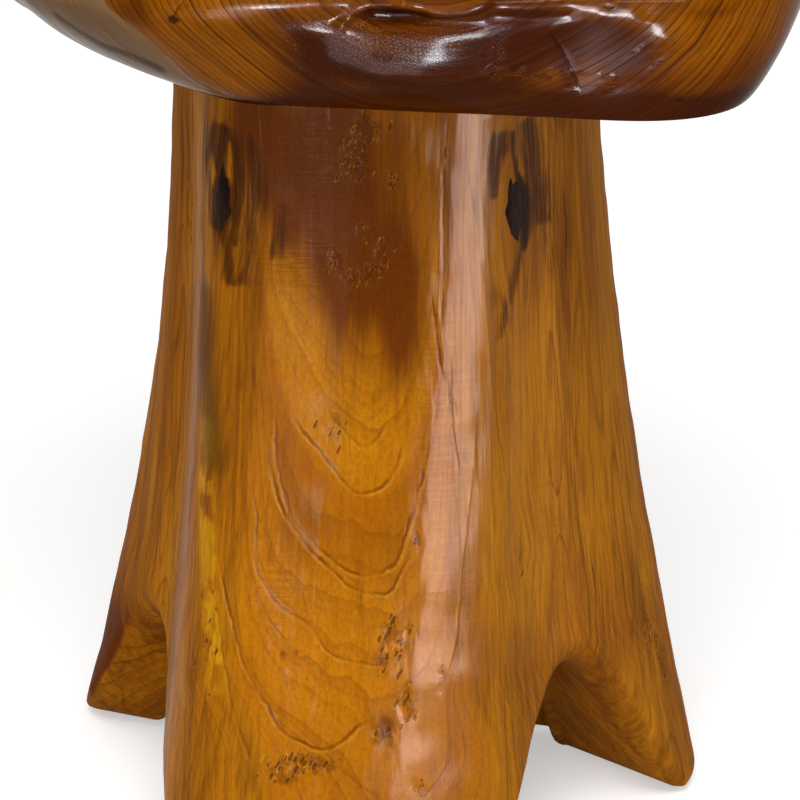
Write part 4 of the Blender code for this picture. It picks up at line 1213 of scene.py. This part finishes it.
def rays_seen(make):
    """1 for rays that the camera sees, straight, mirrored or through something clear."""
    path = make.all_of("ShaderNodeLightPath")
    seen = make.math("ADD", path["Is Camera Ray"], path["Is Glossy Ray"])
    return make.math("ADD", seen, path["Is Transmission Ray"], clamp=True)


floor_paint = bpy.data.materials.new("pale floor")
floor_paint.use_nodes = True
floor_paint.node_tree.nodes.clear()
make = Nodes(floor_paint.node_tree)
matt = make.add("ShaderNodeBsdfDiffuse", None, {"Color": (0.74, 0.74, 0.74, 1)})
strength = make.times(rays_seen(make), 0.42)
glow = make.add("ShaderNodeEmission", None, {"Color": (1, 1, 1, 1), "Strength": strength})
both = make.add("ShaderNodeAddShader", None, {0: matt, 1: glow})
make.tree.links.new(both, make.tree.nodes.new("ShaderNodeOutputMaterial").inputs["Surface"])
floor.data.materials.append(floor_paint)

world = bpy.data.worlds.new("studio sky")
world.use_nodes = True
make = Nodes(world.node_tree)
background = make.tree.nodes["Background"].inputs
background["Color"].default_value = (1, 1, 1, 1)
make.tree.links.new(make.step(rays_seen(make), 0.0, 1.0, 0.62, 1.0), background["Strength"])
bpy.context.scene.world = world

WARM = (1.0, 0.98, 0.95)
COOL = (0.9, 0.92, 1.0)
SEAT_FRONT = (0, -0.15, 0.42)
# name, place, aim, width, height, power, tint, and the piece in whose varnish it shines. Without a piece, the
# lamp lights the wood and makes no glint.
LAMPS = (
    ("overhead", (0.05, -1.0, 1.75), (0, 0, 0.25), 0.9, 0.9, 24, WARM, None),
    ("fill", (-0.25, -2.2, 0.9), (0, 0, 0.2), 1.0, 1.0, 13, WARM, None),
    ("low_window", (0.477, -0.763, 0.115), (0, 0, 0.115), 1.0, 0.23, 64, (0.97, 0.9, 0.92), stump),
    ("foot_window", (-0.6, -2.12, 0.2), (0, 0, 0.1), 0.5, 0.1, 14, (0.97, 0.92, 0.92), stump),
    ("front_window", (0.03, -1.26, 0.51), SEAT_FRONT, 0.26, 0.22, 90, COOL, seat),
    ("upper_window", (0.03, -1.26, 0.74), SEAT_FRONT, 0.26, 0.24, 26, COOL, seat),
    ("dim_window", (-0.21, -1.0, 0.24), SEAT_FRONT, 0.3, 0.42, 14, (0.95, 0.85, 0.92), seat),
    ("roof_window", (0.35, -0.9, 1.6), (0, 0, 0.44), 0.5, 0.12, 18, (1.0, 0.95, 0.9), seat),
)
for name, place, aim, width, height, power, tint, piece in LAMPS:
    data = bpy.data.lights.new(name, "AREA")
    data.shape = "RECTANGLE"
    data.size = width
    data.size_y = height
    data.energy = power
    data.color = tint
    light = bpy.data.objects.new(name, data)
    light.location = place
    light.rotation_euler = (Vector(aim) - Vector(place)).to_track_quat("-Z", "Y").to_euler()
    light.visible_camera = False
    light.visible_diffuse = piece is None
    light.visible_glossy = piece is not None
    if piece:
        lit = bpy.data.collections.new(name + "_pieces")
        lit.objects.link(piece)
        light.light_linking.receiver_collection = lit
    bpy.context.collection.objects.link(light)

CAMERA_AIM = Vector((0.0075, 0, 0.195))
CAMERA_RISE = math.radians(23)
CAMERA_DISTANCE = 2.2
camera_data = bpy.data.cameras.new("photo_camera")
camera_data.lens = 211.5
camera_data.sensor_width = 36
camera = bpy.data.objects.new("photo_camera", camera_data)
camera.location = CAMERA_AIM + CAMERA_DISTANCE * Vector((0, -math.cos(CAMERA_RISE), math.sin(CAMERA_RISE)))
camera.rotation_euler = (math.pi / 2 - CAMERA_RISE, 0, 0)
bpy.context.collection.objects.link(camera)
bpy.context.scene.camera = camera
bpy.context.scene.view_settings.view_transform = "Standard"
